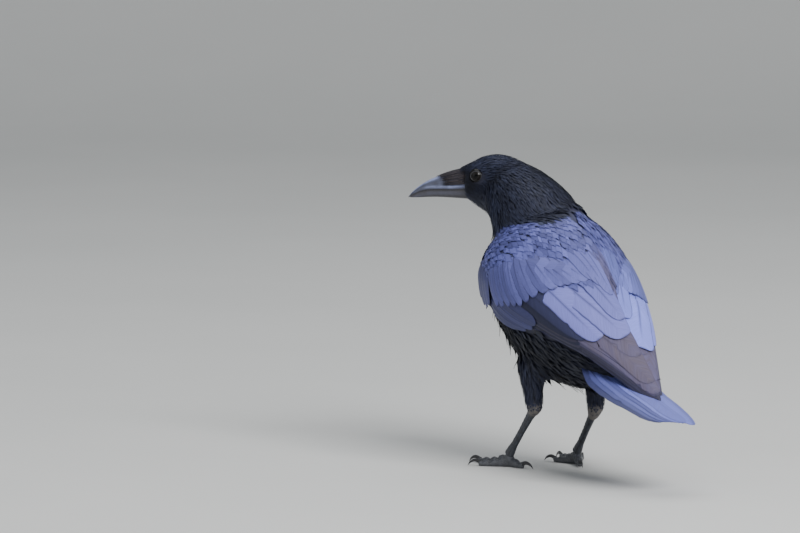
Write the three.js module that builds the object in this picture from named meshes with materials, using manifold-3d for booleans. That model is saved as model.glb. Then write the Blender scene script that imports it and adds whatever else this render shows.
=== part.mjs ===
// A carrion crow, life size, standing on both feet with its head turned to the left.
// Millimetres, +Z up. The trunk faces -Y, its left side is +X, and the soles stand on z = 0.
// Every section below is written in the bird's own terms: forward, left and up.

import * as THREE from "three";
import { mergeVertices } from "three/addons/utils/BufferGeometryUtils.js";
import Module from "manifold-3d";

const wasm = await Module();
wasm.setup();

// ---- driving dimensions -------------------------------------------------------------------

const GAP = 0.35; // clearance between two pieces that touch
const HEAD_PLACE = { forward: 80, left: 22, up: 269.7 }; // midpoint between the eyes
const HEAD_TURN = THREE.MathUtils.degToRad(48); // to the left of the trunk
const EYE = { radius: 7.5, out: 11.6 }; // eyeball, and its centre's distance from the midline
const FLOOR_CUT = 40; // depth of the block that trims the soles flat
const RUMP = { forward: -104, up: 121, lean: 32 }; // cut between trunk and rump, and its lean

// Trunk: place of the section's centre, half width, and depth above and below that centre.
const TRUNK = [
  { forward: 48, up: 226, wide: 34, above: 26, below: 34 },
  { forward: 24, up: 212, wide: 49, above: 44, below: 50 },
  { forward: -8, up: 187, wide: 62, above: 60, below: 66 },
  { forward: -44, up: 159, wide: 65, above: 62, below: 74 },
  { forward: -82, up: 133, wide: 56, above: 50, below: 62 },
  { forward: -117, up: 112, wide: 40, above: 32, below: 36 },
  { forward: -148, up: 97, wide: 26, above: 17, below: 17 },
  { forward: -172, up: 88, wide: 15, above: 8, below: 8 },
];

// Neck, from inside the trunk up into the head: half width, and depth behind and in front.
const NECK = [
  { forward: -14, left: 0, up: 206, wide: 44, above: 40, below: 36 },
  { forward: 10, left: 1, up: 228, wide: 44, above: 40, below: 38 },
  { forward: 30, left: 3, up: 247, wide: 38, above: 34, below: 33 },
  { forward: 48, left: 6, up: 261, wide: 31, above: 27, below: 29 },
  { forward: 62, left: 10, up: 268, wide: 24, above: 21, below: 24 },
];

// Head, measured from the midpoint between the eyes: station forward, height of the centre,
// half width, and depth above and below.
const HEAD = [
  { forward: 25, up: -9.5, wide: 8.5, above: 11, below: 12 },
  { forward: 14, up: -8, wide: 13, above: 15.5, below: 16.5 },
  { forward: 4, up: -7, wide: 17, above: 20, below: 22 },
  { forward: -8, up: -7, wide: 20.5, above: 24.8, below: 27 },
  { forward: -20, up: -7, wide: 22.5, above: 26.4, below: 30 },
  { forward: -33, up: -8, wide: 23, above: 26, below: 30 },
  { forward: -46, up: -10, wide: 20, above: 22, below: 26 },
];

// Bill, in the head's frame: height of the mouth line, culmen or keel, and half width.
const BILL_UPPER = [
  { forward: 14, mouth: -13.4, ridge: 4.5, wide: 8.6 },
  { forward: 26, mouth: -13.8, ridge: 2.2, wide: 8.2 },
  { forward: 38, mouth: -14, ridge: -1.8, wide: 7 },
  { forward: 48, mouth: -14.8, ridge: -6.2, wide: 5.4 },
  { forward: 56, mouth: -16.8, ridge: -11, wide: 3.9 },
  { forward: 63, mouth: -20, ridge: -16.8, wide: 2.2 },
  { forward: 67.7, mouth: -23.2, ridge: -22.2, wide: 0.5 },
];
const BILL_LOWER = [
  { forward: 14, mouth: -13.4, ridge: -23.2, wide: 7.8 },
  { forward: 26, mouth: -13.8, ridge: -22.6, wide: 7 },
  { forward: 38, mouth: -14, ridge: -22.2, wide: 5.8 },
  { forward: 48, mouth: -14.8, ridge: -22.4, wide: 4.4 },
  { forward: 57, mouth: -17.2, ridge: -22.8, wide: 2.8 },
  { forward: 64, mouth: -20.6, ridge: -22.6, wide: 0.9 },
];

// Left wing, folded: at each station from the bend of the wing to its tip, the arc over the
// flank runs from the edge beside the spine, past the bulge, to the lower edge.
const WING = [
  { back: [24, 32, 210], bulge: [34, 58, 196], low: [30, 53, 168] },
  { back: [-6, 22, 239], bulge: [8, 79, 216], low: [8, 61, 154] },
  { back: [-44, 8, 243], bulge: [-28, 93, 213], low: [-30, 66, 141] },
  { back: [-84, 2, 217], bulge: [-68, 88, 188], low: [-78, 55, 131] },
  { back: [-116, 1.5, 182], bulge: [-108, 68, 160], low: [-122, 43, 120] },
  { back: [-148, 1, 146], bulge: [-148, 40, 133], low: [-160, 30, 104] },
  { back: [-184, 1, 110], bulge: [-184, 18, 105], low: [-190, 18, 89] },
  { back: [-212, 1.5, 84], bulge: [-213, 6, 82], low: [-214, 8, 78] },
];
const WING_THICK = { shoulder: 16, tip: 3 };
const RIGHT_TUCK = 17; // how much further forward the right wing's tip lies than the left one's

// Tail, from under the wings to its tip: height of the fan, half width, thickness and droop
// of the outer edges.
const TAIL = [
  { forward: -106, left: 2, up: 124, wide: 31, thick: 9 },
  { forward: -140, left: 5, up: 104, wide: 34, thick: 6 },
  { forward: -175, left: 7, up: 90, wide: 34, thick: 4 },
  { forward: -207, left: 8, up: 81, wide: 33, thick: 3 },
  { forward: -236, left: 9, up: 72, wide: 29, thick: 2.4 },
  { forward: -260, left: 9, up: 64, wide: 21, thick: 2 },
];
const TAIL_DROOP = 6; // how far its sides hang below the midline
const TAIL_ROLL = 5; // how far its left edge is lifted, and its right edge sunk, at the tip
const TAIL_STEP = 45; // how much sooner the outer feathers end, over the last fifth

// Legs: knee, heel, the end of the feathers below the heel, and the ankle of each side, with
// the turn of the foot and of its hind toe, in degrees to the left of straight ahead.
const LEGS = {
  left: {
    knee: [-35, 39, 114],
    heel: [-43, 37.4, 60],
    cuff: [-38.5, 38, 51],
    ankle: [-2.5, 39.4, 12],
    turn: 14,
    hind: 190,
  },
  right: {
    knee: [-52, -25, 110],
    heel: [-55.5, -23, 57],
    cuff: [-46, -23, 42],
    ankle: [-21.5, -24.6, 12],
    turn: -8,
    hind: 156,
  },
};
const THIGH_RADII = [17, 14, 11.2, 9.6, 8.4, 4.5];
const SHANK = { wide: 2.8, deep: 3.3, heel: 1.6, ankle: 1.5 };

// Toes: their turn away from the foot's own axis, on the left foot, and their bone length, half
// width and claw. The hind toe's turn is the leg's own.
const TOES = {
  inner: { turn: -30, length: 27, wide: 3.9, claw: 11 },
  middle: { turn: 2, length: 39, wide: 4.2, claw: 12 },
  outer: { turn: 34, length: 30, wide: 3.8, claw: 10 },
  hind: { turn: 0, length: 19, wide: 4.3, claw: 14 },
};
const TOE_ARCH = 6; // lift of each toe's middle line at its root
const PADS = 4; // swellings under each toe

// ---- materials ----------------------------------------------------------------------------

const finish = (color, roughness) =>
  new THREE.MeshStandardMaterial({ color, roughness, metalness: 0 });
const HOOD = finish(0x1c1d26, 0.6);
const BODY_FEATHER = finish(0x17181f, 0.65);
const WING_FEATHER = finish(0x53577a, 0.45);
const HORN = finish(0x2b2c33, 0.3);
const EYE_BROWN = finish(0x140d09, 0.05);
const SCALE = finish(0x2a2d33, 0.5);

// ---- solids -------------------------------------------------------------------------------

/** A point from the bird's own terms. */
const place = (forward, left, up) => new THREE.Vector3(left, -forward, up);

/** The closed manifold solid of a three.js geometry. */
function solidOf(geometry) {
  const bare = geometry.clone();
  bare.deleteAttribute("normal");
  bare.deleteAttribute("uv");
  const merged = mergeVertices(bare, 1e-4);
  const solid = new wasm.Manifold(
    new wasm.Mesh({
      numProp: 3,
      vertProperties: merged.attributes.position.array,
      triVerts: new Uint32Array(merged.index.array),
    }),
  );
  return solid;
}

/** The three.js geometry of a manifold solid. */
function geometryOf(solid) {
  const { vertProperties, triVerts } = solid.getMesh();
  const geometry = new THREE.BufferGeometry();
  geometry.setAttribute("position", new THREE.BufferAttribute(vertProperties, 3));
  geometry.setIndex(new THREE.BufferAttribute(triVerts, 1));
  geometry.computeVertexNormals();
  return geometry;
}

/** Reads a list of sections as smooth curves: at(t) gives every named size at t from 0 to 1. */
function smooth(sections, names) {
  const curves = names.map((name) => {
    const points = sections.map((section) => new THREE.Vector3(section[name] ?? 0, 0, 0));
    return new THREE.CatmullRomCurve3(points, false, "catmullrom", 0.5);
  });
  return (t) => Object.fromEntries(names.map((name, i) => [name, curves[i].getPoint(t).x]));
}

/** How far a rounded end has opened at t: 0 at both ends, 1 past the share that is rounded. */
function opened(t, front, rear) {
  const near = t < front ? 1 - t / front : t > 1 - rear ? 1 - (1 - t) / rear : 0;
  return Math.sqrt(Math.max(0, 1 - near * near));
}

/** A closed body: the rings of a sphere, each moved onto its own section of the body. */
function sheathe(pointAt, rings, sides) {
  const geometry = new THREE.SphereGeometry(1, sides, rings);
  const position = geometry.getAttribute("position");
  const uv = geometry.getAttribute("uv");
  for (let i = 0; i < position.count; i++) {
    const t = (1 - Math.cos(Math.PI * (1 - uv.getY(i)))) / 2;
    const polar = t < 1e-6 || t > 1 - 1e-6;
    const angle = polar ? 0 : 2 * Math.PI * uv.getX(i);
    position.setXYZ(i, ...pointAt(t, angle).toArray());
  }
  const solid = solidOf(geometry);
  if (solid.volume() > 0) return solid;
  return solidOf(flipped(geometry));
}

/** The same faces, turned round. */
function flipped(geometry) {
  const copy = geometry.clone();
  const index = copy.index.array;
  for (let i = 0; i < index.length; i += 3) [index[i], index[i + 1]] = [index[i + 1], index[i]];
  return copy;
}

/** A body of egg-shaped sections that stand square to its own centre line. */
function eggLoft(sections, { rings, sides, front = 0.2, rear = 0.2, grow = 0 }) {
  const size = smooth(sections, ["forward", "left", "up", "wide", "above", "below"]);
  const centre = (t) => {
    const { forward, left, up } = size(THREE.MathUtils.clamp(t, 0, 1));
    return place(forward, left, up);
  };
  const backward = centre(1).y > centre(0).y ? 1 : -1;
  return sheathe(
    (t, angle) => {
      const middle = centre(t);
      const along = centre(t + 0.02).sub(centre(t - 0.02)).normalize();
      const side = new THREE.Vector3(backward, 0, 0).addScaledVector(along, -backward * along.x);
      const over = new THREE.Vector3().crossVectors(side, along).normalize();
      side.multiplyScalar(backward).normalize();
      const { wide, above, below } = size(t);
      const open = opened(t, front, rear);
      const tall = Math.sin(angle) > 0 ? above : below;
      middle.addScaledVector(side, Math.cos(angle) * (wide * open + grow));
      middle.addScaledVector(over, Math.sin(angle) * (tall * open + grow));
      if (t < 1e-6) middle.addScaledVector(along, -grow);
      if (t > 1 - 1e-6) middle.addScaledVector(along, grow);
      return middle;
    },
    rings,
    sides,
  );
}

const matrixOf = (position, turn) =>
  new THREE.Matrix4()
    .makeRotationZ(turn)
    .setPosition(place(position.forward, position.left, position.up));

/** Moves a solid by a three.js matrix. */
const moved = (solid, matrix) => solid.transform(matrix.elements);

// ---- head ---------------------------------------------------------------------------------

/** The feathered head in its own frame. */
const headSolid = (grow) =>
  eggLoft(HEAD, { rings: 13, sides: 20, front: 0.1, rear: 0.45, grow });

/** One mandible: a ridge over or under the mouth line, with flanks that swell outwards. */
function mandible(sections, grow = 0) {
  const line = smooth(sections, ["forward", "mouth", "ridge", "wide"]);
  return sheathe(
    (t, angle) => {
      const { forward, mouth, ridge, wide } = line(t);
      const open = opened(t, 0.02, 0.03);
      const across = Math.cos(angle);
      const ridgeSide = Math.sin(angle) > 0;
      const reach = ridgeSide ? ridge - mouth : -grow * Math.sign(ridge - mouth);
      const rise = reach * Math.abs(Math.sin(angle)) ** 0.8;
      const middle = (ridge + mouth) / 2;
      const swell = Math.sign(across) * Math.abs(across) ** (ridgeSide ? 0.85 : 1);
      return place(forward, swell * (wide * open + grow), middle + (mouth + rise - middle) * open);
    },
    11,
    14,
  );
}

/** An eyeball in the head's frame, on the left (side 1) or the right (side -1). */
function eyeball(side, grow) {
  const ball = new THREE.SphereGeometry(EYE.radius + grow, 14, 8);
  ball.rotateY(Math.PI / 2);
  const at = place(0, side * EYE.out, 0);
  ball.translate(at.x, at.y, at.z);
  return solidOf(ball);
}

// ---- wings and tail -----------------------------------------------------------------------

/** A point of the folded wing's outer face: t from bend to tip, b from spine to lower edge. */
function wingFace(t, b, side) {
  const corner = (name) => {
    const points = WING.map((section, i) => {
      const [forward, left, up] = section[name];
      const tuck = side < 0 ? RIGHT_TUCK * (i / (WING.length - 1)) ** 3 : 0;
      return place(forward + tuck, side * left, up);
    });
    return new THREE.CatmullRomCurve3(points, false, "catmullrom", 0.5).getPoint(t);
  };
  return new THREE.QuadraticBezierCurve3(corner("back"), corner("bulge"), corner("low")).getPoint(b);
}

/** A folded wing: its outer face, and an inner face that lies under it by the wing's depth. */
function wingSolid(side) {
  const centre = (t) => wingFace(t, 0.5, side);
  return sheathe(
    (t, angle) => {
      const b = angle <= Math.PI ? angle / Math.PI : 2 - angle / Math.PI;
      const inside = angle > Math.PI;
      const open = opened(t, 0.1, 0.03);
      const face = wingFace(t, b, side);
      const step = 0.02;
      const across = wingFace(t, Math.min(1, b + step), side);
      across.sub(wingFace(t, Math.max(0, b - step), side));
      const along = wingFace(Math.min(1, t + step), b, side);
      along.sub(wingFace(Math.max(0, t - step), b, side));
      const out = new THREE.Vector3().crossVectors(across, along).normalize();
      if (out.x * side < 0) out.negate();
      const deep = THREE.MathUtils.lerp(WING_THICK.shoulder, WING_THICK.tip, t);
      const sink = inside ? deep * Math.sin(Math.PI * b) ** 0.5 : 0;
      face.addScaledVector(out, -sink);
      return centre(t).lerp(face, open);
    },
    17,
    18,
  );
}

/** The closed tail: a shallow arch of feathers that widens towards a rounded tip. */
function tailSolid(grow = 0) {
  const line = smooth(TAIL, ["forward", "left", "up", "wide", "thick"]);
  return sheathe(
    (t, angle) => {
      const { forward, left, up, wide, thick } = line(t);
      const open = opened(t, 0.05, 0.16);
      const across = Math.cos(angle) * open;
      const sag = TAIL_DROOP * across * across - TAIL_ROLL * across * t;
      const sooner = TAIL_STEP * across * across * Math.max(0, t - 0.8);
      const end = t < 1e-6 ? grow : t > 1 - 1e-6 ? -grow : 0;
      return place(
        forward + sooner + end,
        left + across * wide + Math.cos(angle) * grow,
        up - sag + Math.sin(angle) * (thick * open + grow),
      );
    },
    12,
    16,
  );
}

// ---- legs and feet ------------------------------------------------------------------------

/** A round limb through a few points, with a radius at each and a flattening across. */
function limb(points, radii, { flat = 1, rings, sides, front = 0.1, rear = 0.1, grow = 0 }) {
  const sections = points.map(([forward, left, up], i) => ({
    forward,
    left,
    up,
    wide: radii[i] * flat,
    above: radii[i],
    below: radii[i],
  }));
  return eggLoft(sections, { rings, sides, front, rear, grow });
}

/** Points spaced evenly on the straight line between two places. */
function between(from, to, count) {
  return Array.from({ length: count }, (_, i) =>
    from.map((value, axis) => THREE.MathUtils.lerp(value, to[axis], i / (count - 1))),
  );
}

/** The feathered thigh, from inside the flank past the heel to the end of its feathers. */
const thighSolid = ({ knee, heel, cuff }, grow = 0) =>
  limb([...between(knee, heel, THIGH_RADII.length - 1), cuff], THIGH_RADII, {
    rings: 10,
    sides: 14,
    front: 0.3,
    rear: 0.16,
    grow,
  });

/** The bare shank, thickened at the heel and at the ankle. */
function shankSolid({ heel, ankle }, grow = 0) {
  const radii = [SHANK.heel, 1.25, 1, 1, SHANK.ankle].map((share) => SHANK.deep * share);
  return limb(between(heel, ankle, radii.length), radii, {
    flat: SHANK.wide / SHANK.deep,
    rings: 9,
    sides: 12,
    front: 0.06,
    rear: 0.14,
    grow,
  });
}

/** A toe along its own forward axis: high at its root, padded below, flat where it stands. */
function toeSolid({ length, wide }, grow = 0) {
  const stations = 2 * PADS + 1;
  const sections = Array.from({ length: stations }, (_, i) => {
    const t = i / (stations - 1);
    const swell = 1 + 0.12 * Math.cos(2 * Math.PI * PADS * t);
    const thin = 1 - 0.28 * t;
    const tall = wide * thin * swell;
    const arch = TOE_ARCH * (1 - t) ** 3.5;
    return {
      forward: length * t,
      left: 0,
      up: tall * 0.82 + arch,
      wide: wide * thin * (0.86 + 0.14 * swell),
      above: tall * 0.95 + arch * 0.2,
      below: tall + arch,
    };
  });
  return eggLoft(sections, { rings: 9, sides: 8, front: 0.1, rear: 0.12, grow });
}

/** A curved claw that leaves the toe's end, rises and comes down to the floor. */
function clawSolid({ length, wide, claw }) {
  const root = wide * 0.58;
  const points = [
    [length - 3, 0, root + 1],
    [length + claw * 0.3, 0, root + 2.8],
    [length + claw * 0.72, 0, root + 1.4],
    [length + claw, 0, 0.2],
  ];
  const radii = [root, root * 0.82, root * 0.55, 0.5];
  return limb(points, radii, { flat: 0.72, rings: 6, sides: 6, front: 0.12, rear: 0.03 });
}

// ---- the bird -----------------------------------------------------------------------------

const bird = new THREE.Group();

/** Adds a group that stands somewhere in the bird. */
function groupAt(parent, position, turn = 0) {
  const group = new THREE.Group();
  group.position.copy(place(position.forward, position.left, position.up));
  group.rotation.z = turn;
  parent.add(group);
  return group;
}

/** Adds a named mesh, whose solid is written in its group's own frame. */
function addPiece(group, name, solid, material) {
  const mesh = new THREE.Mesh(geometryOf(solid), material);
  mesh.name = name;
  group.add(mesh);
}

/** The largest of the bodies that a cut leaves. */
const largest = (solid) =>
  solid.decompose().reduce((best, body) => (body.volume() > best.volume() ? body : best));

const headMatrix = matrixOf(HEAD_PLACE, HEAD_TURN);
const headInverse = headMatrix.clone().invert();
const SIDES = { left: 1, right: -1 };

/** A long block whose upper face is the floor. */
const floorSolid = () =>
  solidOf(new THREE.BoxGeometry(400, 400, FLOOR_CUT).translate(0, 0, -FLOOR_CUT / 2));

/** Everything behind the cut between trunk and rump, with the cut moved forward by grow. */
function behindRump(grow) {
  const block = new THREE.BoxGeometry(400, 400, 400).translate(0, 200, 0);
  block.rotateX(-THREE.MathUtils.degToRad(RUMP.lean));
  const at = place(RUMP.forward + grow, 0, RUMP.up);
  return solidOf(block.translate(at.x, at.y, at.z));
}

function buildHead() {
  const head = groupAt(bird, HEAD_PLACE, HEAD_TURN);
  let skull = headSolid(0);
  for (const [name, side] of Object.entries(SIDES)) {
    skull = skull.subtract(eyeball(side, GAP));
    addPiece(head, `eye_${name}`, eyeball(side, 0), EYE_BROWN);
  }
  addPiece(head, "head", skull, HOOD);
  const behind = headSolid(GAP);
  const upper = mandible(BILL_UPPER).subtract(behind);
  const lower = mandible(BILL_LOWER).subtract(behind).subtract(mandible(BILL_UPPER, GAP));
  addPiece(head, "bill_upper", largest(upper), HORN);
  addPiece(head, "bill_lower", largest(lower), HORN);
}

/** Builds trunk, rump, neck, tail and wings, and gives back the trunk's outline for the legs. */
function buildBody() {
  const body = groupAt(bird, { forward: 0, left: 0, up: 0 });
  const trunk = (grow) => eggLoft(TRUNK, { rings: 15, sides: 24, front: 0.24, rear: 0.3, grow });
  const neck = (grow) => eggLoft(NECK, { rings: 11, sides: 20, front: 0.25, rear: 0.3, grow });
  const around = trunk(GAP);
  const skull = moved(headSolid(GAP), headMatrix);
  addPiece(body, "trunk", trunk(0).subtract(behindRump(GAP)), BODY_FEATHER);
  addPiece(body, "rump", trunk(0).intersect(behindRump(0)), BODY_FEATHER);
  addPiece(body, "neck", largest(neck(0).subtract(around).subtract(skull)), HOOD);
  addPiece(body, "tail", largest(tailSolid().subtract(around)), WING_FEATHER);
  const inners = [around, neck(GAP), skull, tailSolid(GAP)];
  for (const [name, side] of Object.entries(SIDES)) {
    const wing = inners.reduce((solid, inner) => solid.subtract(inner), wingSolid(side));
    addPiece(body, `wing_${name}`, largest(wing), WING_FEATHER);
  }
  return around;
}

/** Builds one leg: its thigh under the trunk's outline, its shank, and a foot with claws. */
function buildLeg(name, around) {
  const leg = LEGS[name];
  const [forward, left] = leg.ankle;
  const hip = groupAt(bird, { forward: 0, left: 0, up: 0 });
  addPiece(hip, `thigh_${name}`, largest(thighSolid(leg).subtract(around)), BODY_FEATHER);
  const turn = THREE.MathUtils.degToRad(leg.turn);
  const foot = groupAt(bird, { forward, left, up: 0 }, turn);
  const intoFoot = matrixOf({ forward, left, up: 0 }, turn).invert();
  const shank = largest(shankSolid(leg).subtract(thighSolid(leg, GAP)));
  addPiece(foot, `shank_${name}`, moved(shank, intoFoot), SCALE);
  let taken = moved(shankSolid(leg, GAP), intoFoot).add(floorSolid());
  for (const [toeName, toe] of Object.entries(TOES)) {
    const degrees = toeName === "hind" ? leg.hind - leg.turn : SIDES[name] * toe.turn;
    const spread = new THREE.Matrix4().makeRotationZ(THREE.MathUtils.degToRad(degrees));
    const piece = largest(moved(toeSolid(toe), spread).subtract(taken));
    addPiece(foot, `toe_${name}_${toeName}`, piece, SCALE);
    taken = taken.add(moved(toeSolid(toe, GAP), spread));
    const claw = largest(moved(clawSolid(toe), spread).subtract(taken));
    addPiece(foot, `claw_${name}_${toeName}`, claw, HORN);
  }
}

buildHead();
const trunkOutline = buildBody();
for (const name of Object.keys(SIDES)) buildLeg(name, trunkOutline);

// The origin is the middle of the bird's own box, on the floor.
bird.updateMatrixWorld(true);
const middle = new THREE.Box3().setFromObject(bird, true).getCenter(new THREE.Vector3());
bird.position.set(-middle.x, -middle.y, 0);

export default bird;
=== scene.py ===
"""Looks of a life-size carrion crow: skin, feathers, bill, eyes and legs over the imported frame.

Everything is worked out in the bird's own frame, in millimetres: x to its left, y backwards and
z up, with the origin on the floor under the breast. Meshes are written in metres, in the frame
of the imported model.
"""

import sys

import logging
import math
from dataclasses import dataclass, field
from enum import Enum

import bpy
import numpy as np
from mathutils import Matrix, Vector
from mathutils.bvhtree import BVHTree


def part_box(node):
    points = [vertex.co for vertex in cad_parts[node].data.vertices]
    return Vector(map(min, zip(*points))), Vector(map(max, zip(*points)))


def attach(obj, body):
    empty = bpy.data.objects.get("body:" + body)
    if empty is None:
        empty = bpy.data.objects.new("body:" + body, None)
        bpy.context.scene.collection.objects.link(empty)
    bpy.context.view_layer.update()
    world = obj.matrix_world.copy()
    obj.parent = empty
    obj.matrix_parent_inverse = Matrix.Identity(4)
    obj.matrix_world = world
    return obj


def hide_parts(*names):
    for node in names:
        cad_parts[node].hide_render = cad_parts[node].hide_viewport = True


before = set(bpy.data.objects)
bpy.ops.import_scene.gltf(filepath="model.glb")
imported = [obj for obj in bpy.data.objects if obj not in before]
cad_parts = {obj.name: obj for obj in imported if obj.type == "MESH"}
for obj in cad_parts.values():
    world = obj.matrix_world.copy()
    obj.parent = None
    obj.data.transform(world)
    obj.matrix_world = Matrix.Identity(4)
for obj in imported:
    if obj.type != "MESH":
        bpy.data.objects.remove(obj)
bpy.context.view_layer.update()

log = logging.getLogger("crow")

MM = 0.001
SEED = 7
TUFT_PATCH = 0.003
SLOPE_STEP = 0.004
SCATTER_TRIES = 9
SCATTER_SHARE = 0.86
Array = np.ndarray
Triple = tuple[float, float, float]
Material = bpy.types.Material


# ---- numbers and curves -------------------------------------------------------------------


def unit(vectors: Array) -> Array:
    """Scales vectors to length one.

    Args:
        vectors: Array whose last axis is x, y, z.

    Returns:
        The same directions with length one.
    """
    length = np.linalg.norm(vectors, axis=-1, keepdims=True)
    return vectors / np.maximum(length, 1e-9)


def smoothstep(low: float, high: float, value: Array) -> Array:
    """Rises smoothly from 0 at low to 1 at high.

    Args:
        low: Where the rise starts.
        high: Where it ends.
        value: The numbers to read.

    Returns:
        Numbers from 0 to 1.
    """
    t = np.clip((np.asarray(value, float) - low) / (high - low), 0.0, 1.0)
    return t * t * (3 - 2 * t)


def curve_at(knots: Array, t: Array) -> Array:
    """Reads a smooth curve through evenly spaced knots.

    Args:
        knots: Knots, one a row.
        t: Places on the curve, 0 at the first knot and 1 at the last.

    Returns:
        One row of values for each t.
    """
    knots = np.asarray(knots, float)
    last = len(knots) - 1
    x = np.clip(np.asarray(t, float), 0.0, 1.0) * last
    i = np.minimum(x.astype(int), last - 1)
    w = (x - i)[..., None]
    padded = np.vstack([2 * knots[:1] - knots[1:2], knots, 2 * knots[-1:] - knots[-2:-1]])
    p0, p1, p2, p3 = (padded[i + k] for k in range(4))
    v0 = (p2 - p0) / 2
    v1 = (p3 - p1) / 2
    return (2 * p1 - 2 * p2 + v0 + v1) * w**3 + (-3 * p1 + 3 * p2 - 2 * v0 - v1) * w**2 + v0 * w + p1


def turns(count: int) -> Array:
    """Angles once round a ring, none of them twice."""
    return np.linspace(0, 2 * np.pi, count, endpoint=False)


def bell(value: Array, width: float) -> Array:
    """1 at zero, falling away on both sides as a bell of the given width."""
    return np.exp(-((value / width) ** 2))


def even_map(rows: int, columns: int) -> Array:
    """An even map over rows and columns, from 0 to 1 both ways."""
    return np.stack(np.meshgrid(np.linspace(0, 1, rows), np.linspace(0, 1, columns), indexing="ij"), -1)


def pairs(u: Array, v: Array) -> Array:
    """Two maps' values side by side, spread over one shape."""
    return np.stack(np.broadcast_arrays(u, v), -1)


def channels(shape: tuple[int, ...], *values: Array) -> Array:
    """The four numbers that a finish reads.

    Args:
        shape: The shape that every number is spread over.
        *values: The first numbers; the others are 0.

    Returns:
        An array whose last axis holds the four numbers.
    """
    out = np.zeros((*shape, 4))
    for k, value in enumerate(values):
        out[..., k] = value
    return out


def grid_quads(rows: int, columns: int, ring_rows: bool = False, ring_columns: bool = False) -> Array:
    """Quads between the points of a grid that is stored row by row.

    Args:
        rows: Number of rows.
        columns: Number of columns.
        ring_rows: Whether the last row meets the first.
        ring_columns: Whether the last column meets the first.

    Returns:
        The quads, one a row.
    """
    last_row, last_column = rows - (not ring_rows), columns - (not ring_columns)
    i, j = np.meshgrid(np.arange(last_row), np.arange(last_column), indexing="ij")
    k, m = (i + 1) % rows, (j + 1) % columns
    quads = np.stack([i * columns + j, i * columns + m, k * columns + m, k * columns + j], -1)
    return quads.reshape(-1, 4)


def place(forward: float, left: float, up: float) -> Array:
    """A point of the bird's frame from its own terms, in millimetres."""
    return np.array([left, -forward, up], float)


# ---- meshes -------------------------------------------------------------------------------


@dataclass
class Sheet:
    """Vertices and faces in millimetres, with what its finish reads at each vertex."""

    points: Array
    faces: list[Array]
    shade: Array
    vane: Array
    lie: Array
    bake: Array


@dataclass
class Studio:
    """The way from the bird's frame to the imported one, and the making of finished pieces."""

    shift: Array = field(default_factory=lambda: np.zeros(3))
    eye_middle: Triple = (22.0, -80.0, 269.7)

    @staticmethod
    def add(name: str, data: bpy.types.ID) -> bpy.types.Object:
        """Puts an object with the given data into the scene.

        Args:
            name: The object's name.
            data: Its mesh, lamp or camera.

        Returns:
            The new object.
        """
        thing = bpy.data.objects.new(name, data)
        bpy.context.scene.collection.objects.link(thing)
        return thing

    def settle(self) -> None:
        """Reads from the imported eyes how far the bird's frame was moved."""
        corners = [corner for side in ("left", "right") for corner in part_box(f"eye_{side}")]
        middle = np.mean([list(corner) for corner in corners], axis=0) / MM
        self.shift = middle - np.array(self.eye_middle)

    def node(self, name: str) -> tuple[Array, list[tuple[int, ...]]]:
        """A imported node's mesh in the bird's frame.

        Args:
            name: The node's name.

        Returns:
            Its vertices in millimetres and its faces.
        """
        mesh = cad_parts[name].data
        co = np.zeros(len(mesh.vertices) * 3)
        mesh.vertices.foreach_get("co", co)
        return co.reshape(-1, 3) / MM - self.shift, [tuple(p.vertices) for p in mesh.polygons]

    def piece(
        self,
        name: str,
        sheet: Sheet,
        material: Material,
        slot: str,
        stands_for: tuple[str, ...] = (),
        crease: float = 50.0,
    ) -> bpy.types.Object:
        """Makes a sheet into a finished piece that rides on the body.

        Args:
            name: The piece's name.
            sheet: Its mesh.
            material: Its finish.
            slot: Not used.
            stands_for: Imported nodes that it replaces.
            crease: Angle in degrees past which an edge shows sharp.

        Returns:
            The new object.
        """
        mesh = bpy.data.meshes.new(name)
        sizes = np.concatenate([np.full(len(g), g.shape[1]) for g in sheet.faces])
        loops = np.concatenate([g.ravel() for g in sheet.faces]).astype(np.int32)
        starts = np.concatenate([[0], np.cumsum(sizes)[:-1]]).astype(np.int32)
        mesh.vertices.add(len(sheet.points))
        mesh.vertices.foreach_set("co", ((sheet.points + self.shift) * MM).astype(np.float32).ravel())
        mesh.loops.add(len(loops))
        mesh.loops.foreach_set("vertex_index", loops)
        mesh.polygons.add(len(sizes))
        mesh.polygons.foreach_set("loop_start", starts)
        mesh.update(calc_edges=True)
        mesh.validate()
        for label, values in (("OFBake", sheet.bake), ("vane", sheet.vane), ("lie", sheet.lie)):
            layer = mesh.uv_layers.new(name=label)
            layer.data.foreach_set("uv", values[loops].astype(np.float32).ravel())
        shade = mesh.attributes.new("shade", "FLOAT_COLOR", "POINT")
        shade.data.foreach_set("color", sheet.shade.astype(np.float32).ravel())
        mesh.polygons.foreach_set("use_smooth", np.ones(len(mesh.polygons), bool))
        mesh.set_sharp_from_angle(angle=math.radians(crease))
        mesh.materials.append(material)
        piece = self.add(name, mesh)
        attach(piece, "root")
        if stands_for:
            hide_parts(*stands_for)
        log.info("%s: %d faces", name, len(mesh.polygons))
        return piece


# ---- finishes -----------------------------------------------------------------------------


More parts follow.
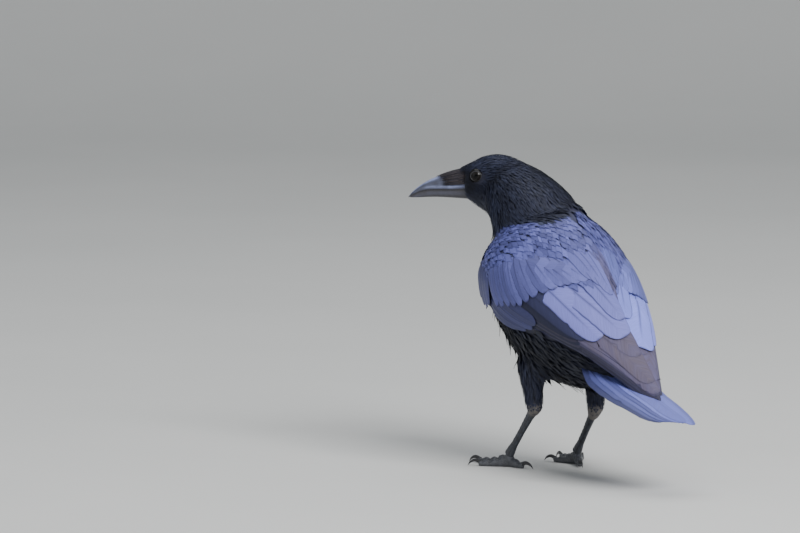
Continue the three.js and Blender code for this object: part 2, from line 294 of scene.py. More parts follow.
class Nodes:
    """A short way to build one node material."""

    def __init__(self, name: str) -> None:
        """Starts an empty material with one shader.

        Args:
            name: The material's name.
        """
        self.material = bpy.data.materials.new(name)
        self.material.use_nodes = True
        self.tree = self.material.node_tree
        self.tree.nodes.clear()
        self.out = self.new("OutputMaterial")
        self.shader = self.new("BsdfPrincipled")
        self.link(self.shader, "BSDF", self.out, "Surface")

    def link(self, source: bpy.types.Node, output: str | int, target: bpy.types.Node,
             socket: str | int) -> None:
        """Joins an output to an input."""
        self.tree.links.new(source.outputs[output], target.inputs[socket])

    def feed(self, value: object, target: bpy.types.Node, socket: str | int) -> None:
        """Sets an input to a number or colour, or joins it to a node's output.

        Args:
            value: A number, a colour, or a (node, output) pair.
            target: The node that takes it.
            socket: The input's name or number.
        """
        if isinstance(value, tuple) and isinstance(value[0], bpy.types.Node):
            self.link(value[0], value[1], target, socket)
        elif isinstance(value, tuple) and len(value) == 3:
            target.inputs[socket].default_value = (*value, 1.0)
        else:
            target.inputs[socket].default_value = value

    def new(self, kind: str) -> bpy.types.Node:
        """Adds a node of a kind."""
        return self.tree.nodes.new(f"ShaderNode{kind}")

    def times(self, a: object, b: object, clamp: bool = False) -> tuple:
        """The product of two values."""
        return self.math("MULTIPLY", a, b, clamp)

    def plus(self, a: object, b: object) -> tuple:
        """The sum of two values."""
        return self.math("ADD", a, b)

    def math(self, kind: str, a: object, b: object = 0.0, clamp: bool = False) -> tuple:
        """A Math node's output.

        Args:
            kind: The operation.
            a: First value or output.
            b: Second value or output.
            clamp: Keeps the result from 0 to 1.

        Returns:
            The node's output.
        """
        node = self.new("Math")
        node.operation = kind
        node.use_clamp = clamp
        self.feed(a, node, 0)
        self.feed(b, node, 1)
        return node, 0

    def mix(self, share: object, a: object, b: object, blend: str = "MIX") -> tuple:
        """A colour mix's output.

        Args:
            share: How much of b shows.
            a: First colour.
            b: Second colour.
            blend: Kind of mix.

        Returns:
            The (node, output) pair.
        """
        node = self.new("Mix")
        node.data_type = "RGBA"
        node.blend_type = blend
        self.feed(share, node, 0)
        self.feed(a, node, 6)
        self.feed(b, node, 7)
        return node, 2

    def ramp(self, value: object, low: float, high: float, start: float = 0.0, end: float = 1.0) -> tuple:
        """A smooth step of a value between two levels.

        Args:
            value: What is read.
            low: Value at which the step starts.
            high: Value at which it ends.
            start: Result at low.
            end: Result at high.

        Returns:
            The (node, output) pair.
        """
        node = self.new("MapRange")
        node.interpolation_type = "SMOOTHSTEP"
        self.feed(value, node, 0)
        for socket, number in zip((1, 2, 3, 4), (low, high, start, end)):
            node.inputs[socket].default_value = number
        return node, 0

    def noise(self, vector: object, scale: float, detail: float = 2.0, rough: float = 0.5) -> tuple:
        """A noise texture's value.

        Args:
            vector: Where it is read, or None for the object's own place.
            scale: How fine it is.
            detail: Number of finer layers.
            rough: Strength of the finer layers.

        Returns:
            The (node, output) pair.
        """
        node = self.new("TexNoise")
        self.feed(self.position() if vector is None else vector, node, "Vector")
        node.inputs["Scale"].default_value = scale
        node.inputs["Detail"].default_value = detail
        node.inputs["Roughness"].default_value = rough
        return node, 0

    def position(self) -> tuple:
        """The object's own coordinates, in metres."""
        return self.new("TexCoord"), "Object"

    def uv(self, name: str) -> tuple:
        """Both coordinates of a map, one output each.

        Args:
            name: Name of the map.

        Returns:
            The output of u and the output of v.
        """
        node = self.new("UVMap")
        node.uv_map = name
        split = self.new("SeparateXYZ")
        self.link(node, 0, split, 0)
        return (split, 0), (split, 1)

    def shade(self) -> tuple:
        """The four numbers written on the mesh: three channels and one more.

        Returns:
            The four outputs, in the order they were written.
        """
        node = self.new("Attribute")
        node.attribute_name = "shade"
        split = self.new("SeparateColor")
        self.link(node, "Color", split, 0)
        return (split, 0), (split, 1), (split, 2), (node, "Alpha")

    def vector(self, x: object, y: object, z: object) -> tuple:
        """A vector from three values.

        Args:
            x: First value.
            y: Second value.
            z: Third value.

        Returns:
            The vector's output.
        """
        node = self.new("CombineXYZ")
        for socket, value in enumerate((x, y, z)):
            self.feed(value, node, socket)
        return node, 0

    def bump(self, height: object, strength: float, distance: float) -> None:
        """Adds relief to the shader.

        Args:
            height: Height at each place.
            strength: Share of the relief that shows.
            distance: Full height, in metres.
        """
        node = self.new("Bump")
        node.inputs["Strength"].default_value = strength
        node.inputs["Distance"].default_value = distance
        self.feed(height, node, "Height")
        self.link(node, 0, self.shader, "Normal")

    def set(self, **sockets: object) -> None:
        """Sets the shader's own sockets, with _ for each blank in their names."""
        for name, value in sockets.items():
            self.feed(value, self.shader, name.replace("_", " "))


@dataclass(frozen=True)
class VaneFinish:
    """Feathers: dark barbs with a painted cool sheen, brown where they are worn, and painted shade at their
    edges.
    """

    name: str
    deep: Triple = (0.008, 0.009, 0.013)
    painted_gleam: Triple = (0.172, 0.186, 0.55)
    worn: Triple = (0.105, 0.088, 0.128)
    # Colour of the painted shade at feather edges, tips and covered roots.
    seam: Triple = (0.018, 0.020, 0.050)
    rough: float = 0.42
    streak: float = 0.5
    vary: float = 0.16
    rim: float = 0.75
    relief: float = 0.00012
    specular: float = 0.24

    def build(self) -> Material:
        """Makes the material.

        Returns:
            The material, which reads gloss, wear, tone and rim from the mesh.
        """
        n = Nodes(self.name)
        gloss, wear, tone, rim = n.shade()
        across, along = n.uv("lie")
        side = n.math("ABSOLUTE", across)
        barb = n.math("SUBTRACT", along, n.times(side, 1.1))
        grain = n.noise(n.vector(barb, n.times(side, 0.14), n.times(tone, 9.0)), 62.0, 3.0)
        broad = n.noise(n.vector(barb, n.times(side, 0.5), n.times(tone, 5.0)), 11.0, 2.0)
        # Painted sheen: the dark base turns to the sheen colour as far as the mesh's painted sheen says,
        # varied by tone.
        lit = n.times(gloss, n.plus(0.80, n.times(tone, 0.34)), clamp=True)
        colour = n.mix(lit, self.deep, self.painted_gleam)
        colour = n.mix(n.times(wear, n.ramp(broad, 0.3, 0.7, 0.85, 1.0)), colour, self.worn)
        # Painted shade: edges, tips and covered roots turn to the seam colour.
        colour = n.mix(n.times(rim, self.rim, clamp=True), colour, self.seam)
        shadow = n.plus(1.0 - self.streak / 2 - self.vary / 2, n.times(grain, self.streak))
        shadow = n.plus(shadow, n.times(tone, self.vary))
        colour = n.mix(1.0, colour, n.vector(shadow, shadow, shadow), "MULTIPLY")
        n.set(Base_Color=colour, Roughness=n.ramp(grain, 0.3, 0.7, self.rough - 0.06, self.rough + 0.08))
        n.set(Specular_IOR_Level=self.specular)
        n.bump(grain, 0.5, self.relief)
        return n.material


@dataclass(frozen=True)
class SkinFinish:
    """Dark skin under the feathers, with their painted sheen, and pale bare skin near the heels."""

    name: str = "crow_skin"
    dark: Triple = (0.008, 0.008, 0.011)
    cool: Triple = (0.075, 0.085, 0.22)
    bald: Triple = (0.13, 0.118, 0.11)

    def build(self) -> Material:
        """Makes the material.

        Returns:
            The material.
        """
        n = Nodes(self.name)
        gloss, bare, _, _ = n.shade()
        mottle = n.noise(None, 260.0, 4.0)
        # Painted sheen, as on the feathers; then the pale bare patches.
        colour = n.mix(n.times(gloss, n.ramp(mottle, 0.3, 0.7, 0.6, 1.0)), self.dark, self.cool)
        colour = n.mix(n.times(bare, n.ramp(mottle, 0.35, 0.6, 0.35, 1.0)), colour, self.bald)
        n.set(Base_Color=colour, Roughness=n.ramp(mottle, 0.3, 0.7, 0.55, 0.75))
        n.bump(n.noise(None, 700.0, 3.0), 0.4, 0.0003)
        return n.material


@dataclass(frozen=True)
class HornFinish:
    """Horn of the bill and claws: near black, browner in places, lighter with wear on the claws and with
    painted highlights on the bill.
    """

    name: str
    dark: Triple = (0.016, 0.018, 0.030)
    # Colour of the claws' wear and of the bill's painted highlights.
    wear_and_highlight: Triple = (0.33, 0.39, 0.68)
    brown: Triple = (0.036, 0.031, 0.033)
    rough: float = 0.34

    def build(self) -> Material:
        """Makes the material, which reads from the mesh the claws' wear and the bill's painted highlights.

        Returns:
            The material.
        """
        n = Nodes(self.name)
        wear_and_highlight, brown, _, _ = n.shade()
        across, along = n.uv("lie")
        fibre = n.noise(n.vector(n.times(along, 0.6), n.times(across, 9.0), 0.0), 24.0, 4.0)
        cloud = n.noise(None, 180.0, 3.0)
        share = n.times(wear_and_highlight, n.ramp(n.plus(fibre, cloud), 0.7, 1.3, 0.45, 1.0))
        colour = n.mix(brown, self.dark, self.brown)
        colour = n.mix(share, colour, self.wear_and_highlight)
        n.set(Base_Color=colour, Roughness=n.ramp(fibre, 0.3, 0.7, self.rough - 0.05, self.rough + 0.12))
        n.set(Coat_Weight=0.12, Coat_Roughness=0.2)
        n.bump(n.plus(fibre, n.times(cloud, 0.5)), 0.35, 0.00025)
        return n.material


@dataclass(frozen=True)
class ScaleFinish:
    """Leathery scales of the legs, dusty in places and with painted shade in their seams, and bare skin of
    the lids.
    """

    name: str = "leg_scales"
    dark: Triple = (0.014, 0.016, 0.022)
    light: Triple = (0.060, 0.068, 0.090)
    bare: Triple = (0.30, 0.27, 0.25)
    dusty: Triple = (0.125, 0.13, 0.14)
    seam: Triple = (0.006, 0.006, 0.008)

    def build(self) -> Material:
        """Makes the material, which reads scale edges, bare skin and dust from the mesh.

        Returns:
            The material.
        """
        n = Nodes(self.name)
        edge, bare, dust, _ = n.shade()
        cloud = n.noise(None, 320.0, 4.0)
        fine = n.noise(None, 1400.0, 3.0)
        colour = n.mix(n.ramp(cloud, 0.35, 0.7, 0.1, 0.7), self.dark, self.light)
        colour = n.mix(n.times(dust, n.ramp(fine, 0.35, 0.65, 0.2, 1.0)), colour, self.dusty)
        # Painted shade in the seams between leg scales; on the lids the same channel darkens the ring's outer
        # side.
        colour = n.mix(n.times(edge, 0.85), colour, self.seam)
        colour = n.mix(n.times(bare, n.ramp(cloud, 0.3, 0.6, 0.5, 1.0)), colour, self.bare)
        n.set(Base_Color=colour, Roughness=n.ramp(cloud, 0.3, 0.7, 0.34, 0.54))
        n.bump(n.plus(fine, cloud), 0.4, 0.0002)
        return n.material


@dataclass(frozen=True)
class EyeFinish:
    """A dark grey-brown iris round a black pupil, under a clear wet surface."""

    name: str = "eye_brown"
    iris: Triple = (0.010, 0.0090, 0.0085)
    inner: Triple = (0.006, 0.0055, 0.005)
    rays: Triple = (0.019, 0.017, 0.015)
    pupil: Triple = (0.002, 0.002, 0.002)
    rim: Triple = (0.004, 0.004, 0.004)
    specular: float = 0.16

    def build(self) -> Material:
        """Makes the material, which reads the distance from the pupil's middle.

        Returns:
            The material.
        """
        n = Nodes(self.name)
        reach, _, _, _ = n.shade()
        turn, _ = n.uv("lie")
        rays = n.noise(n.vector(turn, n.times(reach, 0.25), 0.0), 60.0, 3.0)
        colour = n.mix(n.ramp(reach, 0.45, 0.85), self.inner, self.iris)
        colour = n.mix(n.ramp(rays, 0.35, 0.7, 0.0, 0.5), colour, self.rays)
        colour = n.mix(n.ramp(reach, 0.36, 0.42, 1.0, 0.0), colour, self.pupil)
        colour = n.mix(n.ramp(reach, 0.92, 1.0), colour, self.rim)
        n.set(Base_Color=colour, Roughness=n.ramp(rays, 0.3, 0.7, 0.10, 0.14))
        n.set(Specular_IOR_Level=self.specular)
        return n.material


@dataclass(frozen=True)
class PaperFinish:
    """Plain pale paper of the floor."""

    name: str = "studio_paper"
    low: Triple = (0.60, 0.61, 0.60)
    high: Triple = (0.66, 0.665, 0.655)

    def build(self) -> Material:
        """Makes the material.

        Returns:
            The material.
        """
        n = Nodes(self.name)
        n.set(Base_Color=n.mix(n.noise(None, 3.0, 3.0), self.low, self.high), Roughness=0.85)
        return n.material


# ---- forms of the body --------------------------------------------------------------------


WING_BACK = np.array(
    [[24, 32, 210], [-6, 22, 239], [-44, 8, 243], [-84, 2, 217], [-116, 1.5, 182], [-148, 1, 146],
     [-184, 1, 110], [-212, 1.5, 84]], float)
WING_BULGE = np.array(
    [[34, 58, 196], [8, 79, 216], [-28, 93, 213], [-68, 88, 188], [-108, 68, 160], [-148, 40, 133],
     [-184, 18, 105], [-213, 6, 82]], float)
WING_LOW = np.array(
    [[30, 53, 168], [8, 61, 154], [-30, 66, 141], [-78, 55, 131], [-122, 43, 120], [-160, 30, 104],
     [-190, 18, 89], [-214, 8, 78]], float)


@dataclass
class Face:
    """A curved face that long feathers lie on, with t along it and b across it."""

    side: int = 1

    def held(self, b: Array) -> Array:
        """A plain face has no edge that its feathers must keep inside."""
        return b

    def axes(self, t: Array, b: Array) -> tuple[Array, Array, Array]:
        """The face's two slopes and its outward normal.

        Args:
            t: Place along the face.
            b: Place across it.

        Returns:
            Change of the point with t, change with b, and the unit normal.
        """
        step = SLOPE_STEP
        with_t = (self.point(t + step, b) - self.point(t - step, b)) / (2 * step)
        with_b = (self.point(t, b + step) - self.point(t, b - step)) / (2 * step)
        return with_t, with_b, unit(np.cross(with_b, with_t)) * self.side


@dataclass
class WingFace(Face):
    """Outer face of a folded wing: t from bend to tip, b from the spine to the lower edge."""

    tuck: float = 17.0
    low: float = -0.03
    high: float = 1.0
    give: float = 0.06

    def point(self, t: Array, b: Array) -> Array:
        """Points of the face.

        Args:
            t: Share of the way from bend to tip, which may pass 1 a little.
            b: Share of the way down, which may pass the edges.

        Returns:
            Points in the bird's frame.
        """
        t, b = np.asarray(t, float), np.asarray(b, float)
        arcs = []
        for stations in (WING_BACK, WING_BULGE, WING_LOW):
            forward = stations[:, 0]
            if self.side < 0:
                forward = forward + self.tuck * np.linspace(0, 1, len(stations)) ** 3
            knots = np.stack([self.side * stations[:, 1], -forward, stations[:, 2]], 1)
            end = curve_at(knots, np.array([0.97, 1.0]))
            past = np.maximum(t - 1, 0)[..., None] * (end[1] - end[0]) / 0.03
            arcs.append(curve_at(knots, t) + past)
        inside = np.clip(b, self.low, self.high)
        back, bulge, low = arcs
        c = inside[..., None]
        face = (1 - c) ** 2 * back + 2 * c * (1 - c) * bulge + c**2 * low
        slope = 2 * (1 - c) * (bulge - back) + 2 * c * (low - bulge)
        return face + (b - inside)[..., None] * slope

    def held(self, b: Array) -> Array:
        """Keeps feathers on their own side of the spine, the left ones a little over it.

        Args:
            b: Places across the face.

        Returns:
            The places, none of them past the spine.
        """
        edge = -0.02 if self.side > 0 else 0.0
        soft = self.give
        return np.where(b < edge + soft, edge + soft * np.exp((b - edge) / soft - 1), b)


@dataclass
class TailFace(Face):
    """Upper face of the closed tail: t from its root to its tip, a from -1 right to 1 left."""

    stations: Array = field(
        default_factory=lambda: np.array(
            [[-106, 2, 124, 31, 9], [-140, 5, 104, 34, 6], [-175, 7, 90, 34, 4],
             [-207, 8, 81, 33, 3], [-236, 9, 72, 29, 2.4], [-260, 9, 64, 21, 2]], float))
    droop: float = 6.0
    roll: float = 5.0
    slimmest: float = 26.0
    beyond: tuple[float, float] = (130.0, 0.33)

    def point(self, t: Array, a: Array) -> Array:
        """Points of the middle layer of the fan.

        Args:
            t: Share of the way from root to tip, which may pass 1.
            a: Place across the fan.

        Returns:
            Points in the bird's frame.
        """
        t = np.asarray(t, float)
        forward, left, up, wide = np.moveaxis(curve_at(self.stations, t), -1, 0)[:4]
        past = np.maximum(t - 1, 0) * self.beyond[0]
        wide = np.maximum(wide, self.slimmest)
        sag = self.droop * a * a - self.roll * a * t
        return np.stack([left + a * wide, -(forward - past), up - sag - past * self.beyond[1]], -1)


class Tract(Enum):
    """Feather tracts of the body."""

    FACE = 0
    CROWN = 1
    NAPE = 2
    THROAT = 3
    MANTLE = 4
    LESSER = 5
    BREAST = 6
    BELLY = 7
    VENT = 8
    THIGH = 9
    BARE = 10


@dataclass(frozen=True)
class TractForm:
    """Sizes of one tract's feathers in millimetres, and how they look."""

    length: float
    half: float
    spacing: float
    depth: float
    lift: float
    # How much painted sheen the tract's feathers take.
    gloss: float


TRACTS = {
    Tract.FACE: TractForm(4.6, 0.62, 1.4, 0.9, 0.3, 0.14),
    Tract.CROWN: TractForm(8.0, 0.85, 1.9, 1.3, 0.3, 0.17),
    Tract.NAPE: TractForm(12.0, 1.0, 2.3, 1.7, 0.25, 0.14),
    Tract.THROAT: TractForm(10.5, 1.1, 2.4, 1.7, 0.3, 0.27),
    Tract.MANTLE: TractForm(20.0, 4.2, 6.2, 1.1, 0.1, 0.84),
    Tract.LESSER: TractForm(18.0, 3.9, 5.6, 1.0, 0.1, 1.0),
    Tract.BREAST: TractForm(14.0, 2.3, 3.7, 2.2, 0.3, 0.12),
    Tract.BELLY: TractForm(19.0, 2.4, 4.2, 2.6, 0.4, 0.04),
    Tract.VENT: TractForm(24.0, 2.4, 4.4, 2.8, 0.5, 0.05),
    Tract.THIGH: TractForm(11.0, 1.25, 2.6, 1.6, 0.5, 0.15),
    Tract.BARE: TractForm(12.0, 4.0, 5.0, 2.2, 0.2, 0.25),
}

HOOD_SIN, HOOD_COS, HOOD_SLOPE, HOOD_UP = 0.53, 0.848, 0.114, 230.0
HEELS = ((-43.0, 37.4, 60.0), (-55.5, -23.0, 57.0))
LEG_MIDDLES = ((38, 40), (-25, 54))
FLESH = ("head", "neck", "trunk", "rump", "thigh_left", "thigh_right")
WINGS = ("wing_left", "wing_right")


@dataclass(frozen=True)
class TurnedFrame:
    """A frame turned about the upright, such as the head's: forward, left, and up."""

    origin: Triple = (22.0, -80.0, 269.7)
    turn: float = 48.0

    @property
    def forward(self) -> Array:
        """Unit vector ahead."""
        return np.array([math.sin(math.radians(self.turn)), -math.cos(math.radians(self.turn)), 0.0])

    @property
    def left(self) -> Array:
        """Unit vector to the left."""
        return np.array([math.cos(math.radians(self.turn)), math.sin(math.radians(self.turn)), 0.0])

    def local(self, points: Array) -> Array:
        """Points in this frame's own terms: forward, left, up."""
        away = np.asarray(points, float) - np.array(self.origin)
        return np.stack([away @ self.forward, away @ self.left, away[..., 2]], -1)

    def world(self, forward: Array, left: Array, up: Array) -> Array:
        """Points of the bird's frame from this frame's own terms.

        Args:
            forward: Distances ahead.
            left: Distances to the left.
            up: Distances up.

        Returns:
            The points.
        """
        forward, left, up = np.broadcast_arrays(forward, left, up)
        at = forward[..., None] * self.forward + left[..., None] * self.left
        at = at + np.array(self.origin)
        at[..., 2] += up
        return at


HEAD = TurnedFrame()
BODY = TurnedFrame((0.0, 0.0, 0.0), 0.0)
EYE_OUT = 11.6
EYE_RADIUS = 7.5
EYE_OPENING = 5.3


@dataclass
class Envelope:
    """The outer form of the feathered body as one closed surface, with fields on it."""

    studio: Studio
    voxel: float = 1.9
    nape: Triple = (8.0, -50.0, 268.0)
    pads: tuple = (
        (HEAD, (-30.0, 0.0, -8.0), (26.0, 16.5, 25.0)),
        (HEAD, (-14.0, 0.0, -17.4), (24.0, 12.0, 17.4)),
        (HEAD, (-24.5, 0.0, -36.0), (14.5, 11.0, 14.0)),
        (HEAD, (-19.0, 0.0, 8.0), (25.0, 12.0, 12.6)),
        (BODY, (-16.0, -12.0, 226.0), (32.0, 26.0, 26.0)),
    )
    spine: tuple[float, float, int] = (0.2, 0.64, 24)
    spine_drop: tuple[float, float] = (7.0, 9.8)
    spine_ball: Triple = (8.5, 8.5, 8.5)
    nape_reach: tuple[float, float] = (22.0, 52.0)
    fillets: tuple[float, float] = (3.5, 7.5)
    points: Array = None
    normals: Array = None
    faces: Array = None
    edges: Array = None
    tree: BVHTree = None

    def build(self) -> None:
        """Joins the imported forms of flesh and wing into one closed, smoothed surface."""
        back = curve_at(WING_BACK, np.linspace(*self.spine))
        drop = np.linspace(*self.spine_drop, len(back))
        spine = [(BODY, (ahead, 0.0, up - low), self.spine_ball) for (ahead, _, up), low in zip(back, drop)]
        forms = [self.studio.node(name) for name in FLESH + WINGS + ("eye_left", "eye_right")]
        forms += [self.pad(*pad) for pad in (*self.pads, *spine)]
        faces, start = [], 0
        for co, polygons in forms:
            faces += [tuple(i + start for i in polygon) for polygon in polygons]
            start += len(co)
        self.remesh(np.vstack([co for co, _ in forms]), faces)
        self.smooth(3)
        self.settle()
        swollen = self.points + self.normals * self.fillet(self.points)[:, None]
        self.remesh(swollen, self.faces.tolist())
        self.smooth(3)
        self.settle()
        self.points = self.points - self.normals * self.fillet(self.points)[:, None]
        self.smooth(5)
        away = np.linalg.norm(self.points - np.array(self.nape), axis=-1)
        share = (1 - smoothstep(*self.nape_reach, away))[:, None]
        before = self.points
        self.smooth(40)
        self.points = before * (1 - share) + self.points * share
        self.settle()
        log.info("guide surface: %d faces", len(self.faces))

    def smooth(self, rounds: int) -> None:
        """Evens out the surface."""
        self.points = self.spread(self.points, rounds, 0.6)

    @staticmethod
    def pad(axes: TurnedFrame, middle: Triple, radii: Triple) -> tuple[Array, list]:
        """A rounded filling of loose feathers, where two forms leave a hollow.

        Args:
            axes: The frame that its place is given in.
            middle: Its middle: forward, left, up.
            radii: Its half sizes the same way.

        Returns:
            Its vertices in the bird's frame and its faces.
        """
        rings, sides = 24, 36
        polar, spin = np.linspace(0.01, np.pi - 0.01, rings)[:, None], turns(sides)[None]
        round_ = np.sin(polar)
        local = np.stack([round_ * np.cos(spin), round_ * np.sin(spin), np.cos(polar) + 0 * spin], -1)
        local = local * np.array(radii) + np.array(middle)
        faces = [tuple(face) for group in tube_faces(rings, sides) for face in group[:, ::-1].tolist()]
        return capped(axes.world(*np.moveaxis(local, -1, 0))), faces

    def fillet(self, points: Array) -> Array:
        """Radius with which hollows are filled, in millimetres: largest on neck and back."""
        least, more = self.fillets
        return least + more * smoothstep(-30.0, 20.0, -points[:, 1]) * smoothstep(170.0, 205.0, points[:, 2])

    def remesh(self, points: Array, faces: list) -> None:
        """Takes the outer shell of any closed meshes as even quads.

        Args:
            points: Their vertices, in millimetres.
            faces: Their faces.
        """
        mesh = bpy.data.meshes.new("guide")
        mesh.from_pydata((points * MM).tolist(), [], faces)
        guide = self.studio.add("guide", mesh)
        remesh = guide.modifiers.new("remesh", "REMESH")
        remesh.mode = "VOXEL"
        remesh.voxel_size = self.voxel * MM
        graph = bpy.context.evaluated_depsgraph_get()
        closed = bpy.data.meshes.new_from_object(guide.evaluated_get(graph))
        co = np.zeros(len(closed.vertices) * 3)
        closed.vertices.foreach_get("co", co)
        quads = np.zeros(len(closed.polygons) * 4, int)
        closed.polygons.foreach_get("vertices", quads)
        pairs = np.zeros(len(closed.edges) * 2, int)
        closed.edges.foreach_get("vertices", pairs)
        bpy.data.objects.remove(guide)
        self.points = co.reshape(-1, 3) / MM
        self.faces = quads.reshape(-1, 4)
        self.edges = pairs.reshape(-1, 2)
        self.keep_largest()

    def keep_largest(self) -> None:
        """Drops every shell but the largest, such as the walls of closed hollows."""
        label = np.arange(len(self.points))
        while True:
            low = np.minimum(label[self.edges[:, 0]], label[self.edges[:, 1]])
            fresh = label.copy()
            np.minimum.at(fresh, self.edges[:, 0], low)
            np.minimum.at(fresh, self.edges[:, 1], low)
            fresh = fresh[fresh]
            if (fresh == label).all():
                break
            label = fresh
        main = np.bincount(label).argmax()
        keep = label == main
        index = np.cumsum(keep) - 1
        self.points = self.points[keep]
        self.faces = index[self.faces[keep[self.faces].all(1)]]
        self.edges = index[self.edges[keep[self.edges].all(1)]]

    def spread(self, values: Array, rounds: int, share: float = 1.0) -> Array:
        """Averages values along the surface.

        Args:
            values: One row for each vertex.
            rounds: How many times each vertex meets its neighbours.
            share: How far it moves to their mean each time.

        Returns:
            The smoothed values.
        """
        values = np.asarray(values, float).copy()
        flat = values.reshape(len(values), -1)
        degree = np.bincount(self.edges.ravel(), minlength=len(flat)).astype(float)[:, None]
        here, there = self.edges.T
        for _ in range(rounds):
            total = np.stack([
                np.bincount(here, column[there], len(flat)) + np.bincount(there, column[here], len(flat))
                for column in flat.T], 1)
            flat = flat + share * (total / np.maximum(degree, 1) - flat)
        return flat.reshape(values.shape)

    def settle(self) -> None:
        """Works out the normals and the search tree."""
        a, b, c, d = np.moveaxis(self.points[self.faces], 1, 0)
        face_normal = np.cross(c - a, d - b)
        normal = np.zeros_like(self.points)
        for k in range(4):
            np.add.at(normal, self.faces[:, k], face_normal)
        self.normals = unit(self.spread(unit(normal), 3, 0.8))
        self.tree = BVHTree.FromPolygons(self.points.tolist(), self.faces.tolist())

    def nearest(self, points: Array) -> tuple[Array, Array]:
        """The nearest place on the surface to each point.

        Args:
            points: Points of the bird's frame.

        Returns:
            The places, and the face that holds each.
        """
        places = np.empty((len(points), 3))
        index = np.empty(len(points), int)
        for i, point in enumerate(points.tolist()):
            places[i], _, index[i], _ = self.tree.find_nearest(point)
        return places, index

    def read(self, values: Array, index: Array, places: Array) -> Array:
        """Reads a field at places on faces, weighted to their nearer corners.

        Args:
            values: The field, one row for each vertex.
            index: The face that holds each place.
            places: The places.

        Returns:
            One row of the field for each place.
        """
        corners = self.faces[index]
        away = np.linalg.norm(self.points[corners] - places[:, None], axis=-1)
        weight = 1 / (away + 0.15) ** 2
        weight /= weight.sum(1, keepdims=True)
        picked = values[corners]
        return (picked * (weight if picked.ndim == 2 else weight[..., None])).sum(1)


